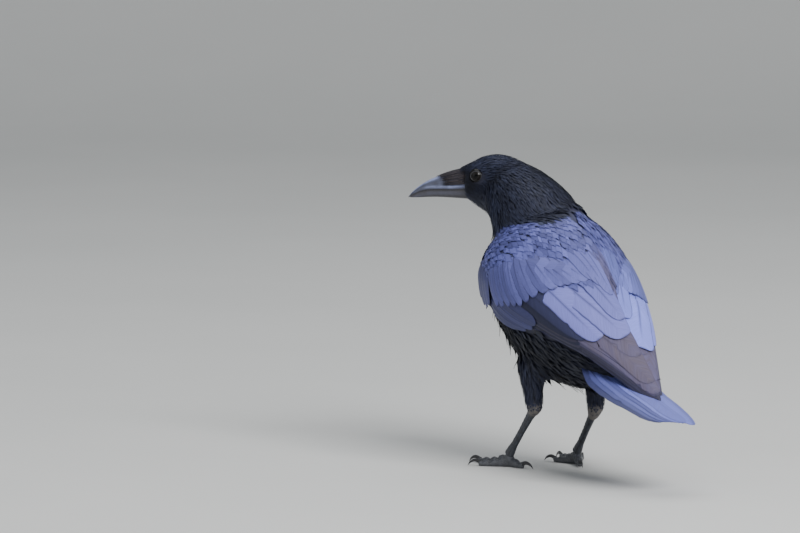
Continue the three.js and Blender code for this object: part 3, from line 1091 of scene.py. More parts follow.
@dataclass
class BodyMap:
    """Which tract each part of the body is, which way its feathers lie, and its unwrap."""

    guide: Envelope
    wings: dict[int, WingFace]
    tract: Array = None
    flow: Array = None
    wing_t: Array = None
    wing_b: Array = None
    tuck: Array = None
    sizes: dict[str, Array] = field(default_factory=dict)
    axis: Array = None
    owner_reach: float = 12.0
    lesser_edge: float = 0.47

    def build(self) -> None:
        """Fills in every field."""
        self.axis = self.axis_line()
        self.find_tracts()
        self.find_flow()
        for name in ("length", "half", "spacing", "depth", "lift", "gloss"):
            by_tract = np.array([getattr(TRACTS[t], name) for t in Tract])
            values = by_tract[self.tract].copy()
            if name in ("length", "half", "spacing"):
                back = np.isin(self.tract, (Tract.MANTLE.value, Tract.LESSER.value))
                grown = 0.64 + 0.46 * smoothstep(-4.0, 52.0, self.below_hood(self.guide.points))
                values[back] *= grown[back]
            self.sizes[name] = self.guide.spread(values, 7, 0.8)
        self.sizes["length"] = self.sizes["length"] * self.tuck
        self.paint_head_sheen()
        spine = self.on_spine()
        self.sizes["wear"] = 0.7 * spine
        for name, change in (("half", -0.5), ("length", 0.35), ("spacing", -0.4)):
            self.sizes[name] = self.sizes[name] * (1 + change * spine)

    def paint_head_sheen(self) -> None:
        """Takes most of the painted sheen off lores and cheek, so they stay black, and paints more on brow,
        crown top and the throat's side.
        """
        forward, _, up = HEAD.local(self.guide.points).T
        head = forward > -46

        def spot(ahead: float, above: float, inner: float, outer: float, squash: float = 1.0) -> Array:
            """1 near a place of the head's side, fading to 0."""
            return (1 - smoothstep(inner, outer, np.hypot(forward - ahead, (up - above) * squash))) * head

        lores, brow, collar_sheen = spot(11, -6, 6, 13), spot(3, 9, 3, 8), spot(-19, -38, 5, 13, 0.45)
        # Painted light from above: the upward-facing crown takes more sheen.
        crown = smoothstep(0.55, 0.95, self.guide.normals[:, 2]) * smoothstep(4, 14, up) * head
        gloss = self.sizes["gloss"] * (1 - 0.85 * lores)
        self.sizes["gloss"] = gloss + 0.12 * brow + 0.10 * crown + 0.20 * collar_sheen

    def on_spine(self) -> Array:
        """1 along the spine between the wings, where the feathers are long, narrow and brown."""
        near = (1 - smoothstep(0.02, 0.06, np.abs(self.wing_b))) * (self.wing_t > 0)
        return self.guide.spread(near * smoothstep(0.38, 0.46, self.wing_t), 3, 0.7)

    @staticmethod
    def axis_line() -> Array:
        """The line along the middle of the body, from the bill to the tail.

        Returns:
            Its knots in the bird's frame.
        """
        head = [HEAD.world(ahead, 0.0, above) for ahead, above in ((34, -11), (14, -9), (-8, -8), (-28, -10))]
        rest = [place(*p) for p in (
            (44, 5, 252), (24, 2, 232), (0, 1, 206), (-22, 0, 184), (-44, 0, 163), (-66, 0, 146),
            (-88, 0, 131), (-112, 1, 117), (-140, 3, 102), (-172, 6, 90), (-206, 8, 80))]
        return np.array(head + rest)

    def along(self, points: Array) -> tuple[Array, Array]:
        """Where points are along the axis line, and its direction there.

        Args:
            points: Points of the bird's frame.

        Returns:
            Places counted in stations, and unit directions towards the tail.
        """
        starts, ends = self.axis[:-1], self.axis[1:]
        span = ends - starts
        t = ((points[:, None] - starts) * span).sum(-1) / (span**2).sum(-1)
        t = np.clip(t, 0, 1)
        foot = starts + t[..., None] * span
        gap = np.linalg.norm(points[:, None] - foot, axis=-1)
        best = gap.argmin(1)
        rows = np.arange(len(points))
        weight = 1 / (gap + 4.0) ** 5
        weight /= weight.sum(1, keepdims=True)
        return best + t[rows, best], unit((weight[..., None] * unit(span)).sum(1))

    def unwrap(self, points: Array) -> Array:
        """The unwrap of the skin's own form: along the body, and round it.

        Args:
            points: Points of the bird's frame.

        Returns:
            Places from 0 to 1.
        """
        station, direction = self.along(points)
        low = np.floor(np.minimum(station, len(self.axis) - 1.001)).astype(int)
        share = (station - low)[:, None]
        foot = self.axis[low] * (1 - share) + self.axis[low + 1] * share
        away = points - foot
        side = unit(np.cross(direction, np.array([0.0, 0.0, 1.0])))
        over = np.cross(side, direction)
        angle = np.arctan2((away * side).sum(-1), (away * over).sum(-1))
        leg = self.on_leg(points)
        u = 0.03 + 0.94 * station / (len(self.axis) - 1)
        v = 0.30 + 0.67 * (angle / (2 * math.pi) + 0.5)
        u = np.where(leg > 0, 0.05 + 0.4 * np.clip((130 - points[:, 2]) / 90, 0, 1), u)
        u = np.where(leg > 1, u + 0.48, u)
        middle = np.where((leg > 1)[:, None], LEG_MIDDLES[1], LEG_MIDDLES[0])
        spin = np.arctan2(points[:, 0] - middle[:, 0], points[:, 1] - middle[:, 1])
        v = np.where(leg > 0, 0.02 + 0.25 * (spin / (2 * math.pi) + 0.5), v)
        return np.stack([u, v], -1)

    @staticmethod
    def on_leg(points: Array) -> Array:
        """Tells which thigh points lie on.

        Args:
            points: Points in the bird's frame.

        Returns:
            0 off the legs, 1 on the left thigh and 2 on the right one.
        """
        low = points[:, 2] < 92
        near = (points[:, 1] > 10) & (points[:, 1] < 78)
        return np.where(low & near, np.where(points[:, 0] > 7, 1, 2), 0)

    def owners(self) -> Array:
        """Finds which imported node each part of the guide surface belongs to.

        Returns:
            The name of the nearest node, for each vertex.
        """
        names = FLESH + WINGS
        gap = np.full((len(self.guide.points), len(names)), 99.0)
        for j, name in enumerate(names):
            co, polygons = self.guide.studio.node(name)
            tree = BVHTree.FromPolygons(co.tolist(), polygons)
            for i, point in enumerate(self.guide.points.tolist()):
                found = tree.find_nearest(point, self.owner_reach)
                if found[0] is not None:
                    gap[i, j] = found[3]
        return np.array(names)[gap.argmin(1)]

    def find_tracts(self) -> None:
        """Names the tract of every vertex of the guide surface."""
        owner = self.owners()
        points, normal = self.guide.points, self.guide.normals
        ahead, _, above = HEAD.local(points).T
        forward, up = -points[:, 1], points[:, 2]
        below_hood = self.below_hood(points)
        trunk = (owner == "trunk") | (owner == "rump")
        neck, head = owner == "neck", owner == "head"
        back = (normal[:, 2] > 0.25) & (up > 190 + 0.25 * forward) & (normal[:, 1] > -0.45)
        front = normal @ unit(HEAD.forward * 0.7 + np.array([0, -1.0, -0.5]))
        tract = np.full(len(points), Tract.BREAST.value)
        self.tract = tract
        for where, name in (
            (trunk & (forward < 22 + 8 * (normal[:, 2] < -0.15)), Tract.BELLY),
            (trunk & (forward < -92) & (up < 128), Tract.VENT),
            (trunk & back, Tract.MANTLE),
            (trunk & (forward < -60) & (normal[:, 2] > 0.15), Tract.MANTLE),
            (neck, Tract.NAPE),
            (neck & (front > 0.35), Tract.THROAT),
            (neck & (below_hood > 0) & (normal[:, 1] > -0.55), Tract.MANTLE),
            ((neck | trunk) & (below_hood > 0) & (forward < 12) & (up > 195), Tract.MANTLE),
        ):
            tract[where] = name.value
        tract[(tract == Tract.MANTLE.value) & (below_hood < 0)] = Tract.NAPE.value
        for where, name in (
            (head, Tract.CROWN),
            (head & (ahead > -3), Tract.FACE),
            (head & (ahead < -30), Tract.NAPE),
            (head & (above < -19 - 0.35 * ahead) & (ahead < 12), Tract.THROAT),
            ((owner == "thigh_left") | (owner == "thigh_right"), Tract.THIGH),
        ):
            tract[where] = name.value
        rise = self.find_wing_tracts(owner, below_hood)
        self.find_tuck(np.nonzero(trunk & (forward < -70) & (up > 92) & (np.abs(points[:, 0]) < 32))[0])
        rise = self.guide.spread(rise, 4, 0.8)
        log.info("small feathers of the wings raised by up to %.1f mm", rise.max())
        self.guide.points = points + normal * rise[:, None]
        self.guide.settle()

    def find_wing_tracts(self, owner: Array, below_hood: Array) -> Array:
        """Names the tracts of the folded wings, and finds each vertex's place on them.

        Args:
            owner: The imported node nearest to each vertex.
            below_hood: How far each vertex lies below the hood's edge.

        Returns:
            How far the surface is to rise to the wings' faces, in millimetres.
        """
        points, normal = self.guide.points, self.guide.normals
        self.wing_t = np.full(len(points), -1.0)
        self.wing_b = np.full(len(points), -1.0)
        rise = np.zeros(len(points))
        for side, name in ((1, "wing_left"), (-1, "wing_right")):
            mine = np.nonzero(owner == name)[0]
            t, b, away = self.wing_place(points[mine], side)
            mantle = np.where(below_hood[mine] < 0, Tract.NAPE.value, Tract.MANTLE.value)
            label = np.where(b < self.lesser_edge, mantle, Tract.LESSER.value)
            small = (t < FOLDED_EDGE.limit(b, side)) & ((away < 3.2) | (t < 0.12))
            self.tract[mine] = np.where(small, label, Tract.BARE.value)
            self.wing_t[mine] = t
            self.wing_b[mine] = b
            gap_out = ((self.wings[side].point(t, b) - points[mine]) * normal[mine]).sum(-1)
            shoulder = 1.2 * smoothstep(0.0, 0.05, b) * (1 - smoothstep(0.14, 0.30, b))
            shoulder = shoulder * smoothstep(0.26, 0.38, t)
            rise[mine] = np.where(away < 5.0, np.clip(gap_out, -1.0, 4.0) + shoulder, 0.0)
        return rise

    def find_tuck(self, behind: Array) -> None:
        """Shortens the feathers that lie close under the folded wings' tips, and bares the nearest.

        Args:
            behind: Vertices of the rear of the trunk.
        """
        self.tuck = np.ones(len(self.guide.points))
        for side in (1, -1):
            away = self.wing_place(self.guide.points[behind], side)[2]
            self.tract[behind[away < 8]] = Tract.BARE.value
            self.tuck[behind] = np.minimum(self.tuck[behind], 0.35 + 0.65 * smoothstep(6.0, 24.0, away))

    @staticmethod
    def below_hood(points: Array) -> Array:
        """Measures points against the dark hood's edge.

        Args:
            points: Points in the bird's frame.

        Returns:
            How far each lies below the edge, in millimetres.
        """
        forward, left, up = -points[:, 1], points[:, 0], points[:, 2]
        aside = -HOOD_SIN * forward - HOOD_COS * left
        rise = 0.40 * np.clip(aside, 0, 45) - 0.9 * np.clip(-38 - aside, 0, 30)
        return HOOD_UP + rise - (up + HOOD_SLOPE * (HOOD_COS * forward - HOOD_SIN * left))

    def wing_place(self, points: Array, side: int) -> tuple[Array, Array, Array]:
        """The wing face's place nearest to each point.

        Args:
            points: Points of the bird's frame.
            side: 1 for the left wing, -1 for the right.

        Returns:
            t and b of each, and its distance from the face.
        """
        t, b = np.meshgrid(np.linspace(0, 1, 121), np.linspace(0, 1, 61), indexing="ij")
        grid = self.wings[side].point(t.ravel(), b.ravel())
        best = np.empty(len(points), int)
        away = np.empty(len(points))
        for start in range(0, len(points), 500):
            chunk = points[start : start + 500]
            gap = ((chunk[:, None] - grid[None]) ** 2).sum(-1)
            best[start : start + 500] = gap.argmin(1)
            away[start : start + 500] = np.sqrt(gap.min(1))
        return t.ravel()[best], b.ravel()[best], away

    def find_flow(self) -> None:
        """Lays a smooth field of directions over the surface, from bill to tail."""
        points, normal = self.guide.points, self.guide.normals
        _, flow = self.along(points)
        thigh = (self.tract == Tract.THIGH.value) | (self.on_leg(points) > 0)
        flow[thigh] = unit(np.array([0.0, 0.12, -1.0]))
        for sign in (1, -1):
            mine = (self.wing_t >= 0) & (np.sign(points[:, 0]) == sign)
            with_t, _, _ = self.wings[sign].axes(self.wing_t[mine], self.wing_b[mine])
            flow[mine] = unit(with_t)
        local = HEAD.local(points)
        cheek = np.isin(self.tract, (Tract.FACE.value, Tract.CROWN.value)) & (local[:, 0] > -34)
        flow[cheek] += np.array([0.0, 0.0, -0.35]) * smoothstep(4, -12, local[cheek, 2])[:, None]
        flow[self.tract == Tract.THROAT.value] += np.array([0.0, 0.0, -0.55])
        flow[self.tract == Tract.VENT.value] = unit(np.array([0.0, 1.0, -0.28]))
        for _ in range(9):
            flow -= (flow * normal).sum(-1, keepdims=True) * normal
            flow = self.guide.spread(unit(flow), 3, 0.8)
        flow -= (flow * normal).sum(-1, keepdims=True) * normal
        self.flow = unit(flow)


@dataclass(frozen=True)
class FoldedEdge:
    """How far back the small feathers of the folded wing reach, at each height b."""

    b: tuple[float, ...] = (0.0, 0.05, 0.1, 0.2, 0.3, 0.4, 0.5, 0.6, 0.75, 0.9, 1.0)
    left: tuple[float, ...] = (0.57, 0.525, 0.515, 0.50, 0.465, 0.405, 0.33, 0.255, 0.17, 0.11, 0.05)
    right: tuple[float, ...] = (0.56, 0.52, 0.49, 0.47, 0.45, 0.42, 0.38, 0.31, 0.21, 0.11, 0.05)

    def limit(self, b: Array, side: int) -> Array:
        """The t at which the small feathers' roots end."""
        return np.interp(b, self.b, self.left if side > 0 else self.right)


FOLDED_EDGE = FoldedEdge()


# ---- feathers -----------------------------------------------------------------------------


@dataclass(frozen=True)
class VaneGrid:
    """Rows and columns of one closed vane, and which columns its underside keeps."""

    rows: tuple[float, ...]
    columns: tuple[float, ...]
    under: tuple[int, ...]

    @property
    def count(self) -> int:
        """Number of vertices of one vane."""
        return len(self.rows) * (len(self.columns) + len(self.under) - 2)

    def top(self, row: int, column: int) -> int:
        """Index of a vertex of the upper side."""
        return row * len(self.columns) + column

    def bottom(self, row: int, place_: int) -> int:
        """Finds a vertex of the underside, whose first and last are the rims.

        Args:
            row: Row of the grid.
            place_: Place in the row.

        Returns:
            The vertex's index.
        """
        if place_ in (0, len(self.under) - 1):
            return self.top(row, self.under[place_])
        inner = len(self.under) - 2
        return len(self.rows) * len(self.columns) + row * inner + place_ - 1

    def faces(self, copies: int) -> list[Array]:
        """Faces of many vanes that follow one another.

        Args:
            copies: How many vanes there are.

        Returns:
            Groups of faces with the same number of corners.
        """
        quads = []
        rows, columns, under = len(self.rows), len(self.columns), len(self.under)
        for r in range(rows - 1):
            for c in range(columns - 1):
                a, b = self.top(r, c), self.top(r + 1, c)
                quads.append((a, b, b + 1, a + 1))
            for u in range(under - 1):
                a, b = self.bottom(r, u), self.bottom(r, u + 1)
                quads.append((a, b, self.bottom(r + 1, u + 1), self.bottom(r + 1, u)))
        first = [self.top(0, c) for c in range(columns)]
        first += [self.bottom(0, u) for u in range(under - 2, 0, -1)]
        end = rows - 1
        last = [self.top(end, c) for c in range(columns - 1, -1, -1)]
        last += [self.bottom(end, u) for u in range(1, under - 1)]
        offset = np.arange(copies)[:, None, None] * self.count
        groups = (np.array(quads), np.array([first, last]))
        return [(group[None] + offset).reshape(-1, group.shape[1]) for group in groups]


SCALE_VANE = VaneGrid((0.0, 0.28, 0.52, 0.72, 0.88, 1.0), (-1.0, -0.52, 0.0, 0.52, 1.0), (0, 2, 4))
SOFT_VANE = VaneGrid((0.0, 0.25, 0.5, 0.72, 0.88, 1.0), (-1.0, -0.5, 0.0, 0.5, 1.0), (0, 2, 4))
HACKLE_VANE = VaneGrid((0.0, 0.35, 0.65, 0.87, 1.0), (-1.0, 0.0, 1.0), (0, 1, 2))


@dataclass
class Vanes:
    """Many vanes of one grid, laid on the ground that carries them."""

    grid: VaneGrid
    ground: Array
    normal: Array
    lift: Array
    thick: Array

    def points(self) -> Array:
        """Vertices of all the vanes, one vane after another.

        Returns:
            The vertices in millimetres.
        """
        upper = self.ground + self.normal * self.lift[..., None]
        inner = list(self.grid.under[1:-1])
        drop = self.thick[:, :, None]
        lower = upper[:, :, inner] - self.normal[:, :, inner] * drop[..., None]
        count = len(upper)
        return np.concatenate([upper.reshape(count, -1, 3), lower.reshape(count, -1, 3)], 1).reshape(-1, 3)

    def carry(self, values: Array) -> Array:
        """Spreads values given on the upper grid to every vertex.

        Args:
            values: One row for each vane, grid row and grid column.

        Returns:
            One row for each vertex.
        """
        count = len(values)
        tail = values.shape[3:]
        inner = values[:, :, list(self.grid.under[1:-1])]
        both = [values.reshape(count, -1, *tail), inner.reshape(count, -1, *tail)]
        return np.concatenate(both, 1).reshape(-1, *tail)


    def sheet(self, shade: Array, vane: Array, lie: Array, bake: Array, flip: int = 1) -> Sheet:
        """Makes the vanes into one sheet.

        Args:
            shade: The finish's four numbers for each vane, row and column.
            vane: The map across and along each vane, the same way.
            lie: The map in true size, the same way.
            bake: The bake map, the same way.
            flip: -1 where the faces must be turned over.

        Returns:
            The sheet.
        """
        faces = [group[:, ::flip] for group in self.grid.faces(len(self.ground))]
        return Sheet(self.points(), faces, *(self.carry(values) for values in (shade, vane, lie, bake)))


def scatter(guide: Envelope, keep: Array, spacing: Array, rng: np.random.Generator) -> tuple[Array, Array]:
    """Sets roots over part of the guide surface, no two nearer than their spacing.

    Args:
        guide: The surface.
        keep: Which vertices take roots.
        spacing: Distance between roots at each vertex, in millimetres.
        rng: Source of the seeded randomness.

    Returns:
        The roots and the face that holds each.
    """
    chosen = np.nonzero(keep[guide.faces].all(1))[0]
    corners = guide.points[guide.faces[chosen]]
    crossed = np.cross(corners[:, 2] - corners[:, 0], corners[:, 3] - corners[:, 1])
    area = 0.5 * np.linalg.norm(crossed, axis=-1)
    gap = spacing[guide.faces[chosen]].mean(1)
    weight = area / gap**2
    tries = int(weight.sum() * SCATTER_TRIES)
    pick = rng.choice(len(chosen), tries, p=weight / weight.sum())
    u, v = rng.random((2, tries, 1))
    c = corners[pick]
    spots = (1 - u) * (1 - v) * c[:, 0] + u * (1 - v) * c[:, 1] + u * v * c[:, 2] + (1 - u) * v * c[:, 3]
    radius = gap[pick] * SCATTER_SHARE
    cell = max(float(radius.max()), 0.5)
    keys = np.floor(spots / cell).astype(int)
    cells: dict[tuple[int, int, int], list[list[float]]] = {}
    around = [(i, j, k) for i in (-1, 0, 1) for j in (-1, 0, 1) for k in (-1, 0, 1)]
    taken = []
    for i, ((kx, ky, kz), (x, y, z), reach) in enumerate(zip(keys.tolist(), spots.tolist(), radius.tolist())):
        limit = reach**2
        crowded = any(
            (px - x) ** 2 + (py - y) ** 2 + (pz - z) ** 2 < limit
            for dx, dy, dz in around
            for px, py, pz in cells.get((kx + dx, ky + dy, kz + dz), ()))
        if not crowded:
            cells.setdefault((kx, ky, kz), []).append([x, y, z])
            taken.append(i)
    return spots[taken], chosen[pick[taken]]


@dataclass(frozen=True)
class TuftLook:
    """Outline of one kind of small feather: how round, how cupped, how it tapers."""

    round_tip: float
    tip_share: float
    cup: float
    belly: float
    thick: float
    stand: float = 0.0
    twist: float = 0.1
    spread: float = 0.13
    # How much painted shade darkens the covered root.
    root: float = 0.8


LOOKS = {
    "scale": TuftLook(0.62, 0.34, 0.10, 0.62, 0.2, spread=0.16, root=0.25),
    "soft": TuftLook(0.5, 0.22, 0.2, 0.5, 0.24),
    "hackle": TuftLook(0.12, 0.12, 0.20, 0.42, 0.22),
    "wisp": TuftLook(0.1, 0.1, 0.2, 0.3, 0.2, stand=5.5),
}


@dataclass
class Coat:
    """Small feathers over the guide surface, tract by tract."""

    guide: Envelope
    body: BodyMap
    rng: np.random.Generator
    bare_heel: float = 7.0
    wisps_apart: float = 2.2
    wisps_below: float = 185.0

    def lay(self, roots: Array, index: Array, grid: VaneGrid, look: TuftLook) -> Sheet:
        """Lays feathers from their roots along the flow.

        Args:
            roots: Root of each feather.
            index: Guide face that holds each root.
            grid: The vane's grid.
            look: Its outline.

        Returns:
            One sheet with all of them.
        """
        guide, body = self.guide, self.body
        count = len(roots)
        size = {k: guide.read(v, index, roots) for k, v in body.sizes.items()}
        grown = self.rng.uniform(1 - look.spread, 1 + look.spread, count)
        length = size["length"] * grown
        half = size["half"] * grown * self.rng.uniform(0.92, 1.08, count)
        rows, columns = np.array(grid.rows), np.array(grid.columns)
        twist = self.rng.normal(0.0, look.twist, count)[:, None]
        place_ = roots
        way = unit(guide.read(body.flow, index, roots))
        normal = unit(guide.read(guide.normals, index, roots))
        way = unit(way + np.cross(normal, way) * twist)
        ground, ways, normals = [place_], [way], [normal]
        for near, far in zip(rows[:-1], rows[1:]):
            step = way * ((far - near) * length)[:, None]
            place_, index = guide.nearest(place_ + step)
            normal = unit(guide.read(guide.normals, index, place_) + 0.5 * normal)
            turn = guide.read(body.flow, index, place_)
            way = unit(0.6 * way + 0.4 * turn)
            way = unit(way - (way * normal).sum(-1, keepdims=True) * normal)
            ground.append(place_)
            ways.append(way)
            normals.append(normal)
        ground, ways, normals = (np.stack(x, 1) for x in (ground, ways, normals))
        width = self.outline(rows, look)
        x = columns[None, None, :] * width[None, :, None]
        side = np.cross(normals, ways)
        back = look.round_tip * half[:, None, None] * (rows**3)[None, :, None] * (columns**2)[None, None, :]
        spot = ground[:, :, None] + side[:, :, None] * (x * half[:, None, None])[..., None]
        spot = spot - ways[:, :, None] * (back * 1.6)[..., None]
        rise = 1 - (1 - rows) ** 1.7
        lift = -size["depth"][:, None] * (1 - rise) + size["lift"][:, None] * rows
        tilt = self.rng.uniform(-0.14, 0.14, count) + look.stand * self.rng.random(count)
        lift = lift + tilt[:, None] * rows**2
        cup = look.cup * half[:, None, None] * (x**2) * (0.35 + 0.65 * rows[None, :, None])
        lift = lift[:, :, None] - cup
        thick = look.thick * (0.5 + 0.5 * np.sin(np.pi * np.clip(rows, 0.08, 0.92)))
        vanes = Vanes(grid, spot, np.repeat(normals[:, :, None], len(columns), 2), lift,
                      np.repeat(thick[None, :], count, 0))
        tone = self.rng.random(count)[:, None, None]
        # Painted sheen, varied from feather to feather.
        gloss = (size["gloss"] * self.rng.uniform(0.82, 1.1, count))[:, None, None]
        # Painted shade: darker sides, tip and covered root.
        edge = np.maximum(np.abs(columns)[None, :] ** 4 * 0.55, 0.6 * smoothstep(0.88, 1.0, rows)[:, None])
        edge = np.maximum(edge, look.root * (1 - smoothstep(0.0, 0.3, rows)[:, None]))
        shape = (count, len(rows), len(columns))
        shade = channels(shape, gloss, size["wear"][:, None, None], tone, edge)
        vane = np.broadcast_to(pairs(0.5 + 0.5 * x[0], rows[:, None]), (*shape, 2))
        lie = pairs(x * half[:, None, None] / 100, rows[None, :, None] * length[:, None, None] / 100 + tone)
        bake = body.unwrap(roots)[:, None, None, :] + (vane - 0.5) * TUFT_PATCH
        return vanes.sheet(shade, vane, lie, bake)

    @staticmethod
    def outline(rows: Array, look: TuftLook) -> Array:
        """The plan of a small feather.

        Args:
            rows: Rows of the grid, from 0 to 1.
            look: Its tract's look.

        Returns:
            Half width at each row, against the widest.
        """
        rise = 0.34 + 0.66 * smoothstep(0.0, look.belly, rows)
        fall = 1 - (1 - look.tip_share) * smoothstep(look.belly, 1.0, rows) ** 1.2
        return rise * fall


    def open_ground(self) -> Array:
        """Leaves out the eyes, the bill and the heels.

        Returns:
            Which vertices of the guide may bear feathers.
        """
        local = HEAD.local(self.guide.points)
        before_eye = np.clip(local[:, 0] + 0.4, 0.0, 2.6)
        keep = np.hypot(local[:, 0] + 0.4 - before_eye, local[:, 2]) > EYE_OPENING + 0.5
        keep |= np.abs(local[:, 1]) < 9
        keep |= ~np.isin(self.body.tract, (Tract.FACE.value, Tract.CROWN.value))
        keep &= ~((local[:, 0] > 12.5) & (local[:, 2] < 3.0))
        return keep & (heel_distance(self.guide.points) > self.bare_heel)

    def build(self, studio: Studio, glossy: Material, dull: Material) -> None:
        """Feathers the head, neck, trunk, thighs and the fore part of the folded wings.

        Args:
            studio: Where the pieces are made.
            glossy: Finish of back and wing feathers.
            dull: Finish of head and belly feathers.
        """
        guide, body = self.guide, self.body
        free = self.open_ground()
        short = 0.4 + 0.6 * smoothstep(8.0, 22.0, heel_distance(guide.points))
        body.sizes["length"] = body.sizes["length"] * short
        under = (Tract.BREAST, Tract.BELLY, Tract.VENT)
        for name, tracts, grid, look, material, slot in (
            ("head_feathers", (Tract.FACE, Tract.CROWN), HACKLE_VANE, "hackle", dull, "hood_plumage"),
            ("neck_hackles", (Tract.NAPE, Tract.THROAT), HACKLE_VANE, "hackle", dull, "hood_plumage"),
            ("mantle_feathers", (Tract.MANTLE, Tract.LESSER), SCALE_VANE, "scale", glossy, "flight_plumage"),
            ("breast_feathers", under, SOFT_VANE, "soft", dull, "body_plumage"),
            ("thigh_feathers", (Tract.THIGH,), HACKLE_VANE, "hackle", dull, "body_plumage"),
            ("belly_wisps", under, HACKLE_VANE, "wisp", dull, "body_plumage"),
        ):
            keep = np.isin(body.tract, [t.value for t in tracts]) & free
            apart = 1.0
            if look == "wisp":
                apart = self.wisps_apart
                keep &= (guide.points[:, 2] < self.wisps_below) & (body.tuck > 0.95)
            roots, index = scatter(guide, keep, body.sizes["spacing"] * apart, self.rng)
            studio.piece(name, self.lay(roots, index, grid, LOOKS[look]), material, slot, crease=70)
            log.info("%s: %d feathers", name, len(roots))


def heel_distance(points: Array) -> Array:
    """Distance of each point from the nearer heel joint, in millimetres."""
    gaps = [(points - place(*heel)) * np.where(points[:, 2:] < heel[2], 0.6, 1.0) for heel in HEELS]
    return np.min([np.linalg.norm(gap, axis=1) for gap in gaps], axis=0)


@dataclass
class Skin:
    """The one skin of head, neck, trunk, rump, thighs and wing roots, inside the coat."""

    guide: Envelope
    body: BodyMap
    studio: Studio
    lining: float = 0.25
    probe: float = 60.0
    deepest: float = 0.36
    socket: float = 3.2
    under_bill: float = 4.5

    def build(self, material: Material) -> None:
        """Makes the skin a coat's depth inside the guide surface.

        Args:
            material: Finish of the skin.
        """
        guide, body = self.guide, self.body
        off_heel = heel_distance(guide.points)
        depth = (body.sizes["depth"] + self.lining) * smoothstep(6.0, 14.0, off_heel) + 0.1
        room = np.full(len(guide.points), self.probe)
        start = guide.points - guide.normals * 0.3
        for i, (point, inward) in enumerate(zip(start.tolist(), (-guide.normals).tolist())):
            found = guide.tree.ray_cast(point, inward, self.probe)
            if found[0] is not None:
                room[i] = found[3]
        depth = np.minimum(depth, self.deepest * guide.spread(room, 2, 0.7))
        ahead, aside, above = HEAD.local(guide.points).T
        away = np.hypot(ahead, above)
        socket = self.socket * (1 - smoothstep(5.2, 7.4, away))
        depth = np.where((np.abs(aside) > 6) & (away < 10), np.maximum(depth, socket), depth)
        depth = depth + self.under_bill * smoothstep(11.0, 15.0, ahead)
        depth = guide.spread(depth, 2, 0.6)
        points = self.fold_in(guide.points - guide.normals * depth[:, None])
        # The skin takes the feathers' painted sheen, and a pale bare patch near the heels.
        gloss = body.sizes["gloss"]
        shade = np.stack([gloss, 1 - smoothstep(6.0, 10.5, off_heel), gloss * 0, gloss * 0], 1)
        home = body.unwrap(points)
        sheet = Sheet(points, [guide.faces], shade, home, home, home)
        self.studio.piece("skin", sheet, material, "body_plumage", FLESH, crease=80)

    def fold_in(self, points: Array) -> Array:
        """Draws the skin of the folded hands in to a slim core, under their long feathers.

        Args:
            points: The skin's vertices.

        Returns:
            The moved vertices.
        """
        points = points.copy()
        for side, wing in self.body.wings.items():
            mine = (self.body.wing_t > 0.45) & (np.sign(points[:, 0]) == side)
            t = self.body.wing_t[mine]
            short = t - 0.14 * smoothstep(0.7, 1.0, t)
            core = (wing.point(short, np.zeros_like(t)) + wing.point(short, np.ones_like(t))) / 2
            share = 0.86 * smoothstep(0.47, 0.66, t)[:, None]
            points[mine] = points[mine] * (1 - share) + core * share
        return points


@dataclass(frozen=True)
class Quill:
    """One long feather on a face: its shaft's root, bend and tip, and its vanes' widths."""

    root: tuple[float, float]
    bend: tuple[float, float]
    tip: tuple[float, float]
    upper: float
    lower: float
    level: float
    # How much painted sheen it takes.
    gloss: float = 0.95
    wear: float = 0.0
    tip_round: float = 0.8
    # How strongly painted shade darkens its edges and tip.
    rim: float = 1.0
    hidden: float = 0.45
    bed: float = -2.6


QUILL_COLUMNS = (-1.0, -0.85, -0.62, -0.36, -0.14, -0.045, 0.0, 0.045, 0.14, 0.36, 0.62, 0.85, 1.0)
QUILL_TIP_ROWS = (0.78 + 0.22 * np.sin(np.linspace(0.12, 1, 12) * np.pi / 2)).round(4)
QUILL_ROWS = tuple(np.linspace(0, 0.78, 22).round(4).tolist() + QUILL_TIP_ROWS.tolist())
QUILL_VANE = VaneGrid(QUILL_ROWS, QUILL_COLUMNS, (0, 3, 6, 9, 12))


